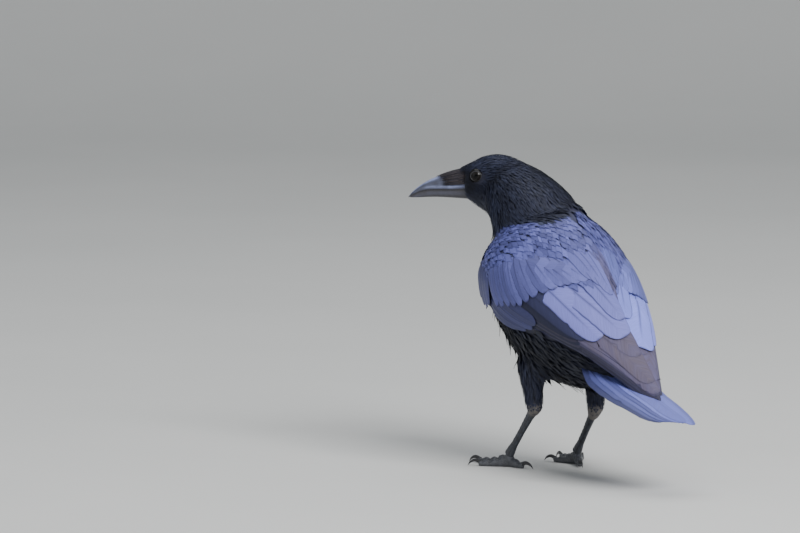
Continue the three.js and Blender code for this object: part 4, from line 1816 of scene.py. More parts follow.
@dataclass
class QuillLayer:
    """Long feathers laid on a wing or tail face."""

    face: Face
    flip: int
    rng: np.random.Generator
    cells: int = 12

    def lay(self, quills: list[Quill], base: int) -> Sheet:
        """Lays each quill on the face.

        Args:
            quills: The feathers, whose level says how high each lies.
            base: Number of the first in the bake map's grid.

        Returns:
            One sheet with all of them.
        """
        grid = QUILL_VANE
        rows, columns = np.array(grid.rows), np.array(grid.columns)
        count = len(quills)

        def each(name: str) -> Array:
            """One value of every feather, ready to spread over its rows and columns."""
            return np.array([getattr(q, name) for q in quills])[:, None, None]

        root, bend, tip = (each(name)[:, 0] for name in ("root", "bend", "tip"))
        s = rows[None, :, None]
        control = 2 * bend - (root + tip) / 2
        line = (1 - s) ** 2 * root + 2 * s * (1 - s) * control + s**2 * tip
        along = 2 * (1 - s) * (control - root) + 2 * s * (tip - control)
        with_t, with_b, normal = self.face.axes(line[..., 0], line[..., 1])
        way = unit(with_t * along[..., :1] + with_b * along[..., 1:])
        side = np.cross(normal, way) * self.flip
        x = np.broadcast_to(columns[None, None], (count, len(rows), len(columns)))
        half = np.where(x > 0, each("upper"), each("lower"))
        share = self.outline(rows, np.array([q.tip_round for q in quills]))
        reach = x * half * share[:, :, None] * self.ragged(quills, rows, columns)
        metric = np.stack([with_t, with_b], -2)
        gram = metric @ np.swapaxes(metric, -1, -2)
        want = side[:, :, None] * reach[..., None]
        rhs = np.einsum("nrij,nrcj->nrci", metric, want)
        delta = np.einsum("nrij,nrcj->nrci", np.linalg.inv(gram), rhs)
        t = line[..., 0][:, :, None] + delta[..., 0]
        b = self.face.held(line[..., 1][:, :, None] + delta[..., 1])
        ground = self.face.point(t, b)
        level = each("level")
        cover = 1 - smoothstep(0.0, 1.0, s / each("hidden"))
        lift = level * (1 - cover) + each("bed") * cover
        lift = lift - 0.5 * np.clip(x, 0, 1) ** 2 + 0.12 * (1 - x**2)
        lift = lift + 0.1 * np.sin(9 * s + level * 5) * np.abs(x)
        lift = lift + 0.34 * bell(x, 0.055) * (1 - 0.8 * s)
        thick = np.broadcast_to(0.34 - 0.12 * rows[None, :], (count, len(rows)))
        vanes = Vanes(grid, ground, np.repeat(normal[:, :, None], len(columns), 2), lift, thick)
        tone = self.rng.random(count)[:, None, None]
        # Painted shade along the edges and at the tip; the dark shaft line is the feather's own.
        rim = 0.95 * smoothstep(0.86, 1.0, np.abs(x)) + 0.95 * smoothstep(0.975, 1.0, s)
        shaft = 0.85 * bell(x, 0.05) * (1 - smoothstep(0.6, 0.95, s))
        outlined = np.clip(np.maximum(rim, shaft) * each("rim"), 0, 1)
        shade = channels(x.shape, each("gloss"), each("wear"), tone, outlined)
        run = np.linalg.norm(np.diff(ground[:, :, len(columns) // 2], axis=1), axis=-1).cumsum(1)
        run = np.concatenate([np.zeros((count, 1)), run], 1)
        vane = pairs(0.5 + 0.5 * x, s)
        lie = pairs(reach / 100, run[:, :, None] / 100 + tone * 3)
        number = base + np.arange(count)
        corner = pairs(number % self.cells, number // self.cells)[:, None, None]
        bake = (corner + 0.04 + 0.92 * vane) / self.cells
        return vanes.sheet(shade, vane, lie, bake, self.flip)

    @staticmethod
    def outline(rows: Array, tip_round: Array) -> Array:
        """The plan of a long feather.

        Args:
            rows: Rows of the grid, from 0 to 1.
            tip_round: How round each tip is.

        Returns:
            Share of the full width at each row of each quill.
        """
        s = rows[None, :]
        rise = 0.25 + 0.75 * smoothstep(0.0, 0.3, s)
        away = np.clip((s - tip_round[:, None]) / (1 - tip_round[:, None]), 0, 1)
        return rise * np.maximum(1 - away**2.1, 0.0) ** 0.5 * 0.985 + 0.015

    def ragged(self, quills: list[Quill], rows: Array, columns: Array) -> Array:
        """How far each edge is frayed in: near 1, with a few splits.

        Args:
            quills: The feathers.
            rows: Rows of the grid.
            columns: Columns of the grid.

        Returns:
            A share for each quill, row and column.
        """
        shape = (len(quills), len(rows), 2)
        fray = self.rng.uniform(-0.05, 0.0, shape)
        for i, quill in enumerate(quills):
            for edge in (0, 1):
                for _ in range(self.rng.integers(0, 2 + int(3 * quill.wear + 0.5))):
                    spot = self.rng.integers(8, len(rows) - 3)
                    fray[i, spot, edge] -= self.rng.uniform(0.06, 0.16) * (1 + quill.wear)
        pick = np.where(columns < 0, fray[..., :1], fray[..., 1:])
        return 1 + pick * np.abs(columns) ** 3


@dataclass
class Wing:
    """The long feathers of one folded wing, from the coverts down to the primaries."""

    side: int
    face: WingFace
    studio: Studio
    rng: np.random.Generator
    coverts: tuple = (
        ((0.237, 0.675), (0.263, 0.781), (0.287, 0.885), 4.2),
        ((0.262, 0.640), (0.290, 0.750), (0.315, 0.865), 4.2),
        ((0.283, 0.610), (0.316, 0.715), (0.345, 0.832), 4.3),
        ((0.302, 0.570), (0.340, 0.680), (0.371, 0.800), 4.6),
        ((0.319, 0.535), (0.360, 0.642), (0.396, 0.762), 4.9),
        ((0.337, 0.496), (0.382, 0.592), (0.421, 0.688), 5.4),
        ((0.354, 0.456), (0.404, 0.525), (0.446, 0.595), 6.0),
        ((0.371, 0.406), (0.424, 0.456), (0.474, 0.488), 6.8),
        ((0.390, 0.366), (0.443, 0.384), (0.491, 0.396), 7.4),
        ((0.412, 0.335), (0.462, 0.328), (0.503, 0.312), 7.8),
        ((0.433, 0.300), (0.478, 0.282), (0.514, 0.252), 8.0),
        ((0.450, 0.255), (0.492, 0.228), (0.525, 0.190), 8.0),
        ((0.465, 0.195), (0.503, 0.165), (0.532, 0.130), 8.0),
        ((0.475, 0.130), (0.510, 0.100), (0.540, 0.060), 8.0),
    )

    def greater_coverts(self) -> list[Quill]:
        """The fan of greater coverts, the innermost on top.

        Returns:
            The feathers.
        """
        quills = []
        for i, (root, bend, tip, half) in enumerate(self.coverts):
            share = i / (len(self.coverts) - 1)
            slip = self.covert_slip(tip[1])
            start = (root[0] - 0.7 * (bend[0] - root[0]) + 0.4 * slip, root[1] - 0.7 * (bend[1] - root[1]))
            quills.append(Quill(
                start, (root[0] + 0.6 * slip, root[1]), (tip[0] + slip, tip[1]), half * 1.8, half * 0.85,
                0.4 + 0.8 * share, gloss=0.50 + 0.12 * share, tip_round=0.78, hidden=0.5 + 0.24 * share))
        return quills

    def covert_slip(self, b: float) -> float:
        """How much farther back the right wing's coverts end, at a place across the wing."""
        return 0.0 if self.side > 0 else 0.038 + 0.075 * min(b, 0.55) - 0.16 * max(b - 0.55, 0.0)

    def primary_coverts(self) -> list[Quill]:
        """Alula and primary coverts, which end in one rounded lobe.

        Returns:
            The feathers.
        """
        rows = (
            ((0.20, 0.93), (0.28, 0.975), (0.350, 0.990), 4.0, -0.9),
            ((0.21, 0.88), (0.30, 0.950), (0.385, 0.975), 4.6, -0.7),
            ((0.23, 0.82), (0.33, 0.900), (0.418, 0.930), 5.2, -0.45),
            ((0.25, 0.76), (0.35, 0.840), (0.442, 0.865), 5.8, -0.2),
        )
        return [Quill(root, bend, tip, half * 1.6, half * 0.9, level, gloss=0.24, tip_round=0.76, hidden=0.3)
                for root, bend, tip, half, level in rows]

    def wrist(self) -> list[Quill]:
        """Short firm feathers that hang over the bend of the wing.

        Returns:
            The feathers.
        """
        rows = (
            ((0.10, 0.46), (0.105, 0.70), (0.128, 0.950), 9.0),
            ((0.125, 0.48), (0.135, 0.72), (0.158, 0.985), 9.5),
            ((0.155, 0.50), (0.168, 0.73), (0.188, 0.975), 9.0),
            ((0.180, 0.52), (0.200, 0.74), (0.214, 0.935), 8.0),
        )
        return [Quill(root, bend, tip, half, half, 0.9 - 0.2 * i, gloss=0.34, tip_round=0.58, rim=0.7,
                      hidden=0.6) for i, (root, bend, tip, half) in enumerate(rows)]

    def scapulars(self) -> list[Quill]:
        """Long feathers of the shoulder, which lie over the coverts' roots and the spine.

        Returns:
            The feathers.
        """
        rows = (
            ((0.41, 0.12), (0.470, 0.100), (0.540, 0.080), 9.0, 1.50),
            ((0.43, 0.08), (0.500, 0.060), (0.572, 0.040), 8.5, 1.65),
            ((0.45, 0.04), (0.530, 0.025), (0.607, 0.010), 8.0, 1.80),
        )
        return [Quill(root, bend, tip, half, half, level, gloss=0.62, tip_round=0.6, rim=0.8, hidden=0.7,
                      bed=level - 0.8) for root, bend, tip, half, level in rows]

    def tertials(self) -> list[Quill]:
        """The broad innermost feathers, each over the next.

        Returns:
            The feathers.
        """
        if self.side < 0:
            broad = (
                ((0.40, 0.36), (0.62, 0.280), (0.782, 0.170), 19.0, 20.0, 0.8, 0.95, 0.0, 0.80, 0.60, -4.6),
                ((0.36, 0.50), (0.56, 0.480), (0.725, 0.500), 16.0, 13.0, 0.1, 0.95, 0.0, 0.74, 0.46, -4.6),
            )
        else:
            broad = (
                ((0.36, 0.33), (0.58, 0.245), (0.738, 0.120), 17.0, 15.5, 0.8, 0.90, 0.12, 0.80, 0.60, -4.6),
                ((0.34, 0.46), (0.53, 0.445), (0.686, 0.480), 16.0, 13.0, 0.1, 0.88, 0.10, 0.74, 0.46, -4.6),
            )
        rows = (
            ((0.38, 0.17), (0.55, 0.105), (0.690, 0.030), 15.0, 11.0, 1.3, 0.95, 0.0, 0.76, 0.60, -4.6),
            *broad,
            ((0.32, 0.58), (0.49, 0.600), (0.645, 0.615), 14.0, 10.0, -0.5, 0.13, 0.0, 0.70, 0.36, -2.6),
            ((0.31, 0.66), (0.46, 0.690), (0.625, 0.665), 12.0, 9.0, -0.9, 0.08, 0.0, 0.70, 0.36, -2.6),
        )
        return [Quill(*row[:9], hidden=row[9], bed=row[10]) for row in rows]

    def secondaries(self) -> list[Quill]:
        """The outer secondaries, stacked under the tertials.

        Returns:
            The feathers.
        """
        return [Quill((0.30, 0.70 + 0.10 * k), (0.45, 0.75 + 0.10 * k), (0.605 + 0.02 * k, 0.73 + 0.13 * k),
                      9.0, 6.0, -1.3 - 0.25 * i, gloss=0.07, wear=0.25 * (i % 2), tip_round=0.7)
                for i, k in enumerate(np.linspace(0, 1, 5).tolist())]

    def primaries(self) -> list[Quill]:
        """The primaries that make the wing's point, the outermost lowest.

        Returns:
            The feathers.
        """
        rows = (
            ((0.40, 0.42), (0.61, 0.30), (0.805, 0.07), 14.0, 13.0, 0.7, 0.95),
            ((0.40, 0.56), (0.63, 0.46), (0.905, 0.20), 19.0, 11.0, 0.7, 1.0),
            ((0.40, 0.66), (0.66, 0.58), (0.952, 0.31), 17.0, 8.5, 0.6, 0.9),
            ((0.40, 0.72), (0.67, 0.68), (0.962, 0.44), 10.0, 5.5, 0.15, 0.4),
            ((0.40, 0.77), (0.68, 0.745), (0.972, 0.56), 9.0, 4.6, 0.08, 0.3),
            ((0.40, 0.81), (0.69, 0.80), (0.982, 0.70), 8.0, 4.0, 0.08, 0.22),
            ((0.40, 0.86), (0.69, 0.86), (0.984, 0.83), 7.0, 3.4, 0.08, 0.22),
            ((0.40, 0.90), (0.69, 0.91), (0.965, 0.93), 6.0, 3.0, 0.12, 0.25),
            ((0.40, 0.94), (0.66, 0.95), (0.905, 0.98), 5.0, 2.6, 0.10, 0.2),
        )
        return [Quill(*row[:5], -0.7 - 0.42 * min(i, 2) - 0.17 * max(i - 2, 0), *row[5:], tip_round=0.84,
                      rim=0.45 if i < 3 else 1.0, hidden=0.66) for i, row in enumerate(rows)]

    def build(self, material: Material) -> None:
        """Makes the wing's two pieces of long feathers.

        Args:
            material: Their finish.
        """
        name = "left" if self.side > 0 else "right"
        layer = QuillLayer(self.face, self.side, self.rng)
        cover = self.greater_coverts() + self.primary_coverts() + self.wrist() + self.scapulars()
        flight = self.tertials() + self.secondaries() + self.primaries()
        self.studio.piece(f"wing_coverts_{name}", layer.lay(cover, 0), material, "flight_plumage", crease=70)
        sheet = layer.lay(flight, len(cover))
        self.studio.piece(f"flight_feathers_{name}", sheet, material, "flight_plumage", (f"wing_{name}",), 70)


@dataclass
class Tail:
    """Twelve tail feathers, closed, the middle pair on top."""

    studio: Studio
    rng: np.random.Generator
    pairs: int = 6

    def build(self, material: Material) -> None:
        """Makes the tail.

        Args:
            material: Its finish.
        """
        quills = []
        for i in range(self.pairs - 1, -1, -1):
            for sign in (1, -1):
                share = i / (self.pairs - 1)
                left = sign > 0
                a = sign * (0.05 + (0.66 if left else 0.46) * share)
                tip = 0.963 - 0.073 * share**2
                level = 1.9 - 0.34 * i + 0.17 * left
                wider = 0.34 * share * left
                # Painted shade: the outer feathers on the left take less painted sheen.
                quills.append(Quill(
                    (0.0, a * (0.8 + wider)), (0.45, a * (1 + 0.3 * wider)), (tip, a * 0.86), 12.5, 12.5,
                    level, gloss=0.74 - 0.58 * share * left, tip_round=0.8, rim=0.3))
        sheet = QuillLayer(TailFace(), 1, self.rng, cells=6).lay(quills, 0)
        self.studio.piece("tail_feathers", sheet, material, "flight_plumage", ("tail",), crease=70)


# ---- bill and eyes ------------------------------------------------------------------------


def capped(values: Array) -> Array:
    """Rows of a tube's rings in one list, with the mean of each end ring after them."""
    return np.vstack([values.reshape(-1, values.shape[-1]), values[0].mean(0), values[-1].mean(0)])


def tube_faces(rings: int, sides: int) -> list[Array]:
    """Faces of a closed ring-by-ring body whose two ends are points.

    Args:
        rings: Number of rings between the two end points.
        sides: Points in each ring.

    Returns:
        Quads of the wall and triangles of the ends.
    """
    j = np.arange(sides)
    after = (j + 1) % sides
    first, last = rings * sides, rings * sides + 1
    end = (rings - 1) * sides
    start_fan = np.stack([after, j, np.full(sides, first)], 1)
    end_fan = np.stack([end + j, end + after, np.full(sides, last)], 1)
    return [grid_quads(rings, sides, ring_columns=True), np.vstack([start_fan, end_fan])]


def tube(rings: Array, shade: Array, lie: Array | None = None) -> Sheet:
    """Closes rings of points into a body, turned the right way out.

    Args:
        rings: Points by ring and side.
        shade: Four numbers by ring and side.
        lie: Its map by ring and side, or None for an even one.

    Returns:
        The closed sheet.
    """
    count, sides = rings.shape[:2]
    points = capped(rings)
    even = capped(even_map(count, sides))
    faces = tube_faces(count, sides)
    a, b, c = (points[faces[0][:, k]] for k in (0, 1, 2))
    volume = (a * np.cross(b, c)).sum() - (points.mean(0) * np.cross(b - a, c - a)).sum()
    if volume < 0:
        faces = [group[:, ::-1] for group in faces]
    return Sheet(points, faces, capped(shade), even, even if lie is None else capped(lie), even)


UPPER_BILL = np.array(
    [[10, -13.2, 5.0, 8.6], [14, -13.4, 4.5, 8.6], [26, -13.8, 2.2, 8.2], [38, -14, -1.8, 7],
     [48, -14.8, -6.2, 5.4], [56, -16.8, -11, 3.9], [63, -20, -16.8, 2.2], [67.7, -23.2, -22.2, 0.5]], float)
LOWER_BILL = np.array(
    [[10, -13.4, -23.4, 7.8], [14, -13.4, -23.2, 7.8], [26, -13.8, -22.6, 7], [38, -14, -22.2, 5.8],
     [48, -14.8, -22.4, 4.4], [57, -17.2, -22.9, 2.8], [64, -20.3, -23.1, 1.3],
     [66.2, -21.6, -22.9, 0.6]], float)


@dataclass
class Bill:
    """Both mandibles, with their cutting edges, and the bristles over their base."""

    studio: Studio
    rng: np.random.Generator
    rings: int = 70
    sides: int = 64
    bristles: int = 900

    def mandible(self, stations: Array, upper: bool) -> Sheet:
        """One mandible as a closed body.

        Args:
            stations: Forward place, mouth line, ridge and half width along it.
            upper: Whether it is the upper one.

        Returns:
            Its sheet.
        """
        t = np.linspace(0.004, 0.996, self.rings) ** 0.9
        forward, mouth, ridge, wide = curve_at(stations, t).T
        angle = turns(self.sides)
        across, rise = np.cos(angle)[None], np.sin(angle)[None]
        tall = (ridge - mouth)[:, None]
        ridge_side = rise > 0
        bulge = np.where(ridge_side, tall * np.abs(rise) ** 0.8, -0.06 * tall * np.abs(rise))
        height = mouth[:, None] + bulge
        swell = np.sign(across) * np.abs(across) ** np.where(ridge_side, 0.85, 0.6)
        over_mouth = height - mouth[:, None]
        edge = 1 + 0.05 * bell(over_mouth, 1.1)
        if upper:
            groove = bell(np.abs(rise) - 0.42, 0.16) * ridge_side
            edge = edge - 0.05 * groove * smoothstep(62, 36, forward)[:, None]
        side = swell * wide[:, None] * edge
        if upper:
            # Painted highlights: a band along the culmen, a pale streak just above the mouth line, and a
            # faint painted sheen over the whole upper mandible.
            culmen_highlight = smoothstep(0.62, 0.92, np.abs(rise) * ridge_side) * smoothstep(34, 42, forward)[:, None]
            streak = bell(over_mouth - 2.4, 0.9) * smoothstep(60, 40, forward)[:, None]
            wear_and_highlight = 0.13 + 0.85 * culmen_highlight + 0.5 * streak
        else:
            # A faint painted highlight along the lower mandible's side.
            wear_and_highlight = 0.03 + 0.08 * bell(over_mouth + 4.0, 2.0)
        # The highlight is left off at the mouth line itself, which stays dark.
        wear_and_highlight = np.clip(wear_and_highlight - bell(over_mouth, 0.35), 0, 1)
        lie = pairs(side / 20 + 0.02 * height, forward[:, None] / 20)
        shade = channels(side.shape, wear_and_highlight, 0.35 if upper else 0.9)
        return tube(HEAD.world(forward[:, None], side, height), shade, lie)

    def bristle_mat(self) -> Sheet:
        """Stiff narrow feathers that point forward over the base of the upper mandible.

        Returns:
            The mat as one sheet.
        """
        rng, count, grid = self.rng, self.bristles, HACKLE_VANE
        rows, columns = np.array(grid.rows), np.array(grid.columns)
        turn = rng.uniform(-1.24, 1.24, count)
        start = 10.5 + rng.uniform(0.0, 11.0, count) * (1 - 0.3 * np.abs(turn) / 1.3)
        length = rng.uniform(10.0, 20.5, count) * (1 - 0.10 * np.abs(turn) ** 1.5)
        s = rows[None]
        forward = start[:, None] + length[:, None] * s
        angle = np.pi / 2 + turn[:, None] * 1.12
        angle = angle + np.sign(turn[:, None]) * 0.04 * s * rng.uniform(0, 1, (count, 1))
        t = np.interp(forward, curve_at(UPPER_BILL, np.linspace(0, 1, 200))[:, 0], np.linspace(0, 1, 200))
        _, mouth, ridge, wide = np.moveaxis(curve_at(UPPER_BILL, t), -1, 0)
        rise = np.abs(np.sin(angle)) ** 0.8
        height = mouth + (ridge - mouth) * rise
        side = np.sign(np.cos(angle)) * np.abs(np.cos(angle)) ** 0.85 * wide
        base = HEAD.world(forward, side, height)
        out = unit(np.stack([np.cos(angle), np.sin(angle)], -1))
        normal = out[..., :1] * HEAD.left + out[..., 1:] * np.array([0, 0, 1.0])
        way = unit(np.gradient(base, axis=1))
        across = np.cross(normal, way)
        half = rng.uniform(0.16, 0.32, count)[:, None] * (1 - 0.8 * s**1.5)
        ground = base[:, :, None] + across[:, :, None] * (columns[None, None] * half[:, :, None])[..., None]
        puff = 0.35 + 1.1 * rng.random(count)[:, None] * (1 - 0.55 * s) + 0.5 * smoothstep(24, 12, forward)
        lift = puff[:, :, None] - 0.12 * np.abs(columns)[None, None]
        vanes = Vanes(grid, ground, np.repeat(normal[:, :, None], 3, 2), lift,
                      np.broadcast_to(0.22 - 0.1 * rows, (count, len(rows))))
        # Painted sheen in the first channel, and painted shade along each strand's sides.
        gloss = rng.uniform(0.02, 0.22, (count, 1, 1))
        worn = rng.uniform(0.0, 0.9, (count, 1, 1)) ** 1.6
        tone = rng.random(count)[:, None, None]
        shade = channels((count, len(rows), len(columns)), gloss, worn, tone, 0.3 * np.abs(columns))
        vane = np.broadcast_to(pairs(0.5 + 0.5 * columns, rows[:, None]), (*shade.shape[:3], 2))
        bake = pairs(start / 80, 0.5 + 0.25 * turn)[:, None, None] + (vane - 0.5) * TUFT_PATCH
        return vanes.sheet(shade, vane, vane / 20 + tone[..., None], bake)

    def build(self, horn: Material, feather: Material) -> None:
        """Makes the mandibles and the bristles.

        Args:
            horn: Finish of the mandibles.
            feather: Finish of the bristles.
        """
        for name, stations in (("upper", UPPER_BILL), ("lower", LOWER_BILL)):
            sheet = self.mandible(stations, name == "upper")
            self.studio.piece(f"{name}_mandible", sheet, horn, "bill_horn", (f"bill_{name}",))
        self.studio.piece("nasal_bristles", self.bristle_mat(), feather, "hood_plumage", crease=70)


@dataclass
class Eye:
    """One eye: the ball, and a ring of lids round it."""

    side: int
    studio: Studio
    rings: int = 40
    sides: int = 72

    def ball(self) -> Sheet:
        """The eyeball, a sphere.

        Returns:
            The ball as one sheet.
        """
        polar = np.linspace(0.02, np.pi - 0.02, self.rings)[:, None]
        spin = turns(self.sides)[None]
        radius = EYE_RADIUS - 0.12
        out = radius * np.cos(polar) + 0 * spin
        reach = radius * np.sin(polar)
        points = HEAD.world(reach * np.cos(spin) - 0.4, self.side * (EYE_OUT + out), reach * np.sin(spin))
        front = np.clip(np.clip(reach / EYE_OPENING, 0, 1.2) + (out < 0) * 1.0, 0, 1)
        turn = np.minimum(spin, 2 * np.pi - spin) / np.pi
        return tube(points, channels((self.rings, self.sides), front), pairs(turn, polar / np.pi))

    def lids(self) -> Sheet:
        """The closed ring of both lids, wrinkled and thicker above.

        Returns:
            The ring as one sheet.
        """
        steps, sides = 96, 14
        spin, around = turns(steps)[:, None], turns(sides)[None]
        tall = 1.0 + 0.25 * np.sin(spin)
        wrinkle = 1 + 0.10 * np.sin(22 * spin + 2 * np.cos(around)) * (np.cos(around) > -0.2)
        thick = 0.62 * tall * wrinkle
        reach = EYE_OPENING - 0.15 - 0.25 * np.sin(spin) ** 2 + thick * np.cos(around)
        seat = math.sqrt(EYE_RADIUS**2 - EYE_OPENING**2)
        out = EYE_OUT + seat + 0.12 + 0.75 * thick * np.sin(around)
        points = HEAD.world(reach * np.cos(spin) - 0.4, self.side * out, reach * np.sin(spin) * 0.94)
        shade = channels((steps, sides), 0.4 + 0.3 * np.cos(around)).reshape(-1, 4)
        even = even_map(steps, sides).reshape(-1, 2)
        faces = grid_quads(steps, sides, ring_rows=True, ring_columns=True)[:, :: self.side]
        return Sheet(points.reshape(-1, 3), [faces], shade, even, even / 4, even)

    def build(self, wet: Material, lid: Material) -> None:
        """Makes the eyeball and its lids.

        Args:
            wet: Finish of the eyeball.
            lid: Finish of the lids.
        """
        name = "left" if self.side > 0 else "right"
        self.studio.piece(f"eyeball_{name}", self.ball(), wet, "eye", (f"eye_{name}",))
        self.studio.piece(f"eyelids_{name}", self.lids(), lid, "hood_plumage")


# ---- legs ---------------------------------------------------------------------------------


@dataclass(frozen=True)
class ToeForm:
    """One toe: its turn in degrees, length, half width and claw in millimetres."""

    name: str
    turn: float
    length: float
    wide: float
    claw: float
    joints: int


TOES = (
    ToeForm("inner", -30, 27, 3.9, 11, 3),
    ToeForm("middle", 2, 39, 4.2, 12, 4),
    ToeForm("outer", 34, 30, 3.8, 10, 4),
    ToeForm("hind", 0, 19, 4.3, 14, 2),
)


@dataclass
class Leg:
    """One bare shank with its foot: ringed scales, padded toes and curved claws."""

    name: str
    heel: Triple
    ankle: Triple
    turn: float
    hind: float
    studio: Studio
    wide: float = 2.8
    deep: float = 3.3
    shields: float = 11.5
    shield_rise: float = 0.62
    profile: tuple = ((-0.06, 0.03, 0.2, 0.5, 0.8, 0.93, 1.0), (1.5, 1.62, 1.2, 0.98, 1.02, 1.35, 1.45))

    def shank(self) -> Sheet:
        """The shank, with a row of overlapping shields in front and a smooth blade behind.

        Returns:
            The shank as one sheet.
        """
        rings, sides = 150, 48
        t = np.linspace(-0.06, 1.0, rings)
        heel, ankle = place(*self.heel), place(*self.ankle)
        axis = unit(ankle - heel)
        centre = heel + (ankle - heel) * t[:, None]
        back = unit(np.array([0.0, 1.0, 0.0]) - axis * axis[1])
        side = np.cross(axis, back)
        radius = np.interp(t, *self.profile)
        angle = turns(sides)
        front = -np.cos(angle)[None]
        phase = (t[:, None] * self.shields + 0.06 * np.cos(2 * angle)[None]) % 1.0
        step = smoothstep(0.0, 0.16, phase) * (1 - 0.55 * phase)
        on_front = smoothstep(-0.6, -0.1, front)
        blade = np.abs(np.cos(angle)[None]) ** 1.5 * (front < 0)
        relief = self.shield_rise * step * on_front + 0.25 * blade
        # Painted shade in the groove at the foot of each shield and in the side groove.
        seam = (1 - smoothstep(0.0, 0.13, phase)) * on_front
        seam = np.maximum(seam, 0.8 * bell(front + 0.55, 0.10))
        along_back = (self.deep * radius[:, None] + relief) * np.cos(angle)[None]
        along_side = (self.wide * radius[:, None] + relief * 0.6) * np.sin(angle)[None]
        ring = centre[:, None] + back * along_back[..., None] + side * along_side[..., None]
        bare = smoothstep(0.16, 0.02, t)[:, None] * smoothstep(-0.2, 0.7, np.sin(angle + 0.6))[None]
        dust = 0.25 * smoothstep(0.75, 1.0, t)[:, None]
        shade = channels((rings, sides), seam, bare * 0.8, dust)
        return tube(ring, shade, pairs(angle / 7, t[:, None]))

    def toe(self, toe: ToeForm) -> Sheet:
        """One toe: shields above, pads below, flat where it stands.

        Args:
            toe: Its form.

        Returns:
            Its sheet.
        """
        rings, sides = 110, 36
        t = np.linspace(0.0, 1.0, rings)
        angle = turns(sides)
        swell = 1 + 0.13 * np.cos(2 * np.pi * toe.joints * t)
        thin = 1 - 0.30 * t
        arch = 6.0 * (1 - t) ** 3.5
        end = np.sqrt(np.clip(1 - np.clip((t - 0.93) / 0.07, 0, 1) ** 2, 0.02, 1))
        tall = toe.wide * thin * swell
        up = tall * 0.82 + arch
        wide = toe.wide * thin * (0.84 + 0.14 * swell) * end * 0.94
        above = (tall * 0.92 + arch * 0.2) * end
        below = (tall + arch) * end
        top = np.sin(angle)[None] > 0
        phase = (t * toe.length / 2.6)[:, None] % 1.0
        step = smoothstep(0.0, 0.2, phase) * (1 - 0.5 * phase)
        crown = smoothstep(0.15, 0.6, np.sin(angle))[None]
        relief = 0.24 * (step - 0.5) * crown
        grain = 0.10 * np.sin(40 * t)[:, None] * np.sin(9 * angle)[None] * (1 - crown)
        high = np.where(top, above[:, None], below[:, None]) * np.sin(angle)[None]
        rough = 1 + (relief + grain) / toe.wide
        left = wide[:, None] * np.cos(angle)[None] * rough
        height = np.maximum(up[:, None] + high * rough, 0.0)
        ring = self.seat(toe, (toe.length * t)[:, None], left, height)
        # Painted shade at the joints of the upper scales and in the creases between the pads.
        edge = (1 - smoothstep(0.0, 0.16, phase)) * crown + 0.5 * (1 - swell[:, None]) * 3 * (1 - crown)
        shade = channels((rings, sides), edge, 0.0, 0.35 + 0.5 * (1 - crown))
        return tube(ring, np.clip(shade, 0, 1))

    def claw(self, toe: ToeForm) -> Sheet:
        """One claw, which rises from the toe and curves down to the floor.

        Args:
            toe: The toe that bears it.

        Returns:
            Its sheet.
        """
        rings, sides = 40, 20
        root = toe.wide * 0.58
        length, claw = toe.length, toe.claw
        knots = np.array(
            [[length - 2.6, root + 0.9, root * 0.95], [length + claw * 0.3, root + 2.7, root * 0.82],
             [length + claw * 0.72, root + 1.3, root * 0.52], [length + claw, 0.45, 0.18]])
        t = np.linspace(0, 1, rings)
        forward, up, radius = curve_at(knots, t).T
        way = unit(np.stack([np.gradient(forward), np.gradient(up)], -1))
        angle = turns(sides)
        under = np.where(np.sin(angle) < 0, 0.72, 1.0)
        out = radius[:, None] * np.sin(angle)[None] * under
        side = radius[:, None] * 0.66 * np.cos(angle)[None] * (1 - 0.12 * (np.abs(np.sin(angle)) < 0.3))
        height = np.maximum(up[:, None] + way[:, :1] * out, 0.0)
        ring = self.seat(toe, forward[:, None] - way[:, 1:] * out, side, height)
        shade = channels((rings, sides), 0.15 + 0.5 * t[:, None] ** 2)
        return tube(ring, shade, pairs(angle / 7, t[:, None]))

    def seat(self, toe: ToeForm, forward: Array, left: Array, up: Array) -> Array:
        """Turns a toe's own points into the bird's frame.

        Args:
            toe: The toe, which says how it turns.
            forward: Distances along the toe.
            left: Distances to its left.
            up: Heights.

        Returns:
            The points.
        """
        sign = 1 if self.name == "left" else -1
        degrees = self.hind if toe.name == "hind" else self.turn + sign * toe.turn
        return TurnedFrame((self.ankle[1], -self.ankle[0], 0.0), degrees).world(forward, left, up)

    def build(self, scales: Material, horn: Material) -> None:
        """Makes the shank, the toes and the claws.

        Args:
            scales: Finish of shank and toes.
            horn: Finish of the claws.
        """
        shank = f"shank_{self.name}"
        self.studio.piece(f"scaled_{shank}", self.shank(), scales, "leg_scale", (shank,))
        for toe in TOES:
            part = f"{self.name}_{toe.name}"
            self.studio.piece(f"scaled_toe_{part}", self.toe(toe), scales, "leg_scale", (f"toe_{part}",))
            self.studio.piece(f"curved_claw_{part}", self.claw(toe), horn, "claw_horn", (f"claw_{part}",))


# ---- the studio ---------------------------------------------------------------------------


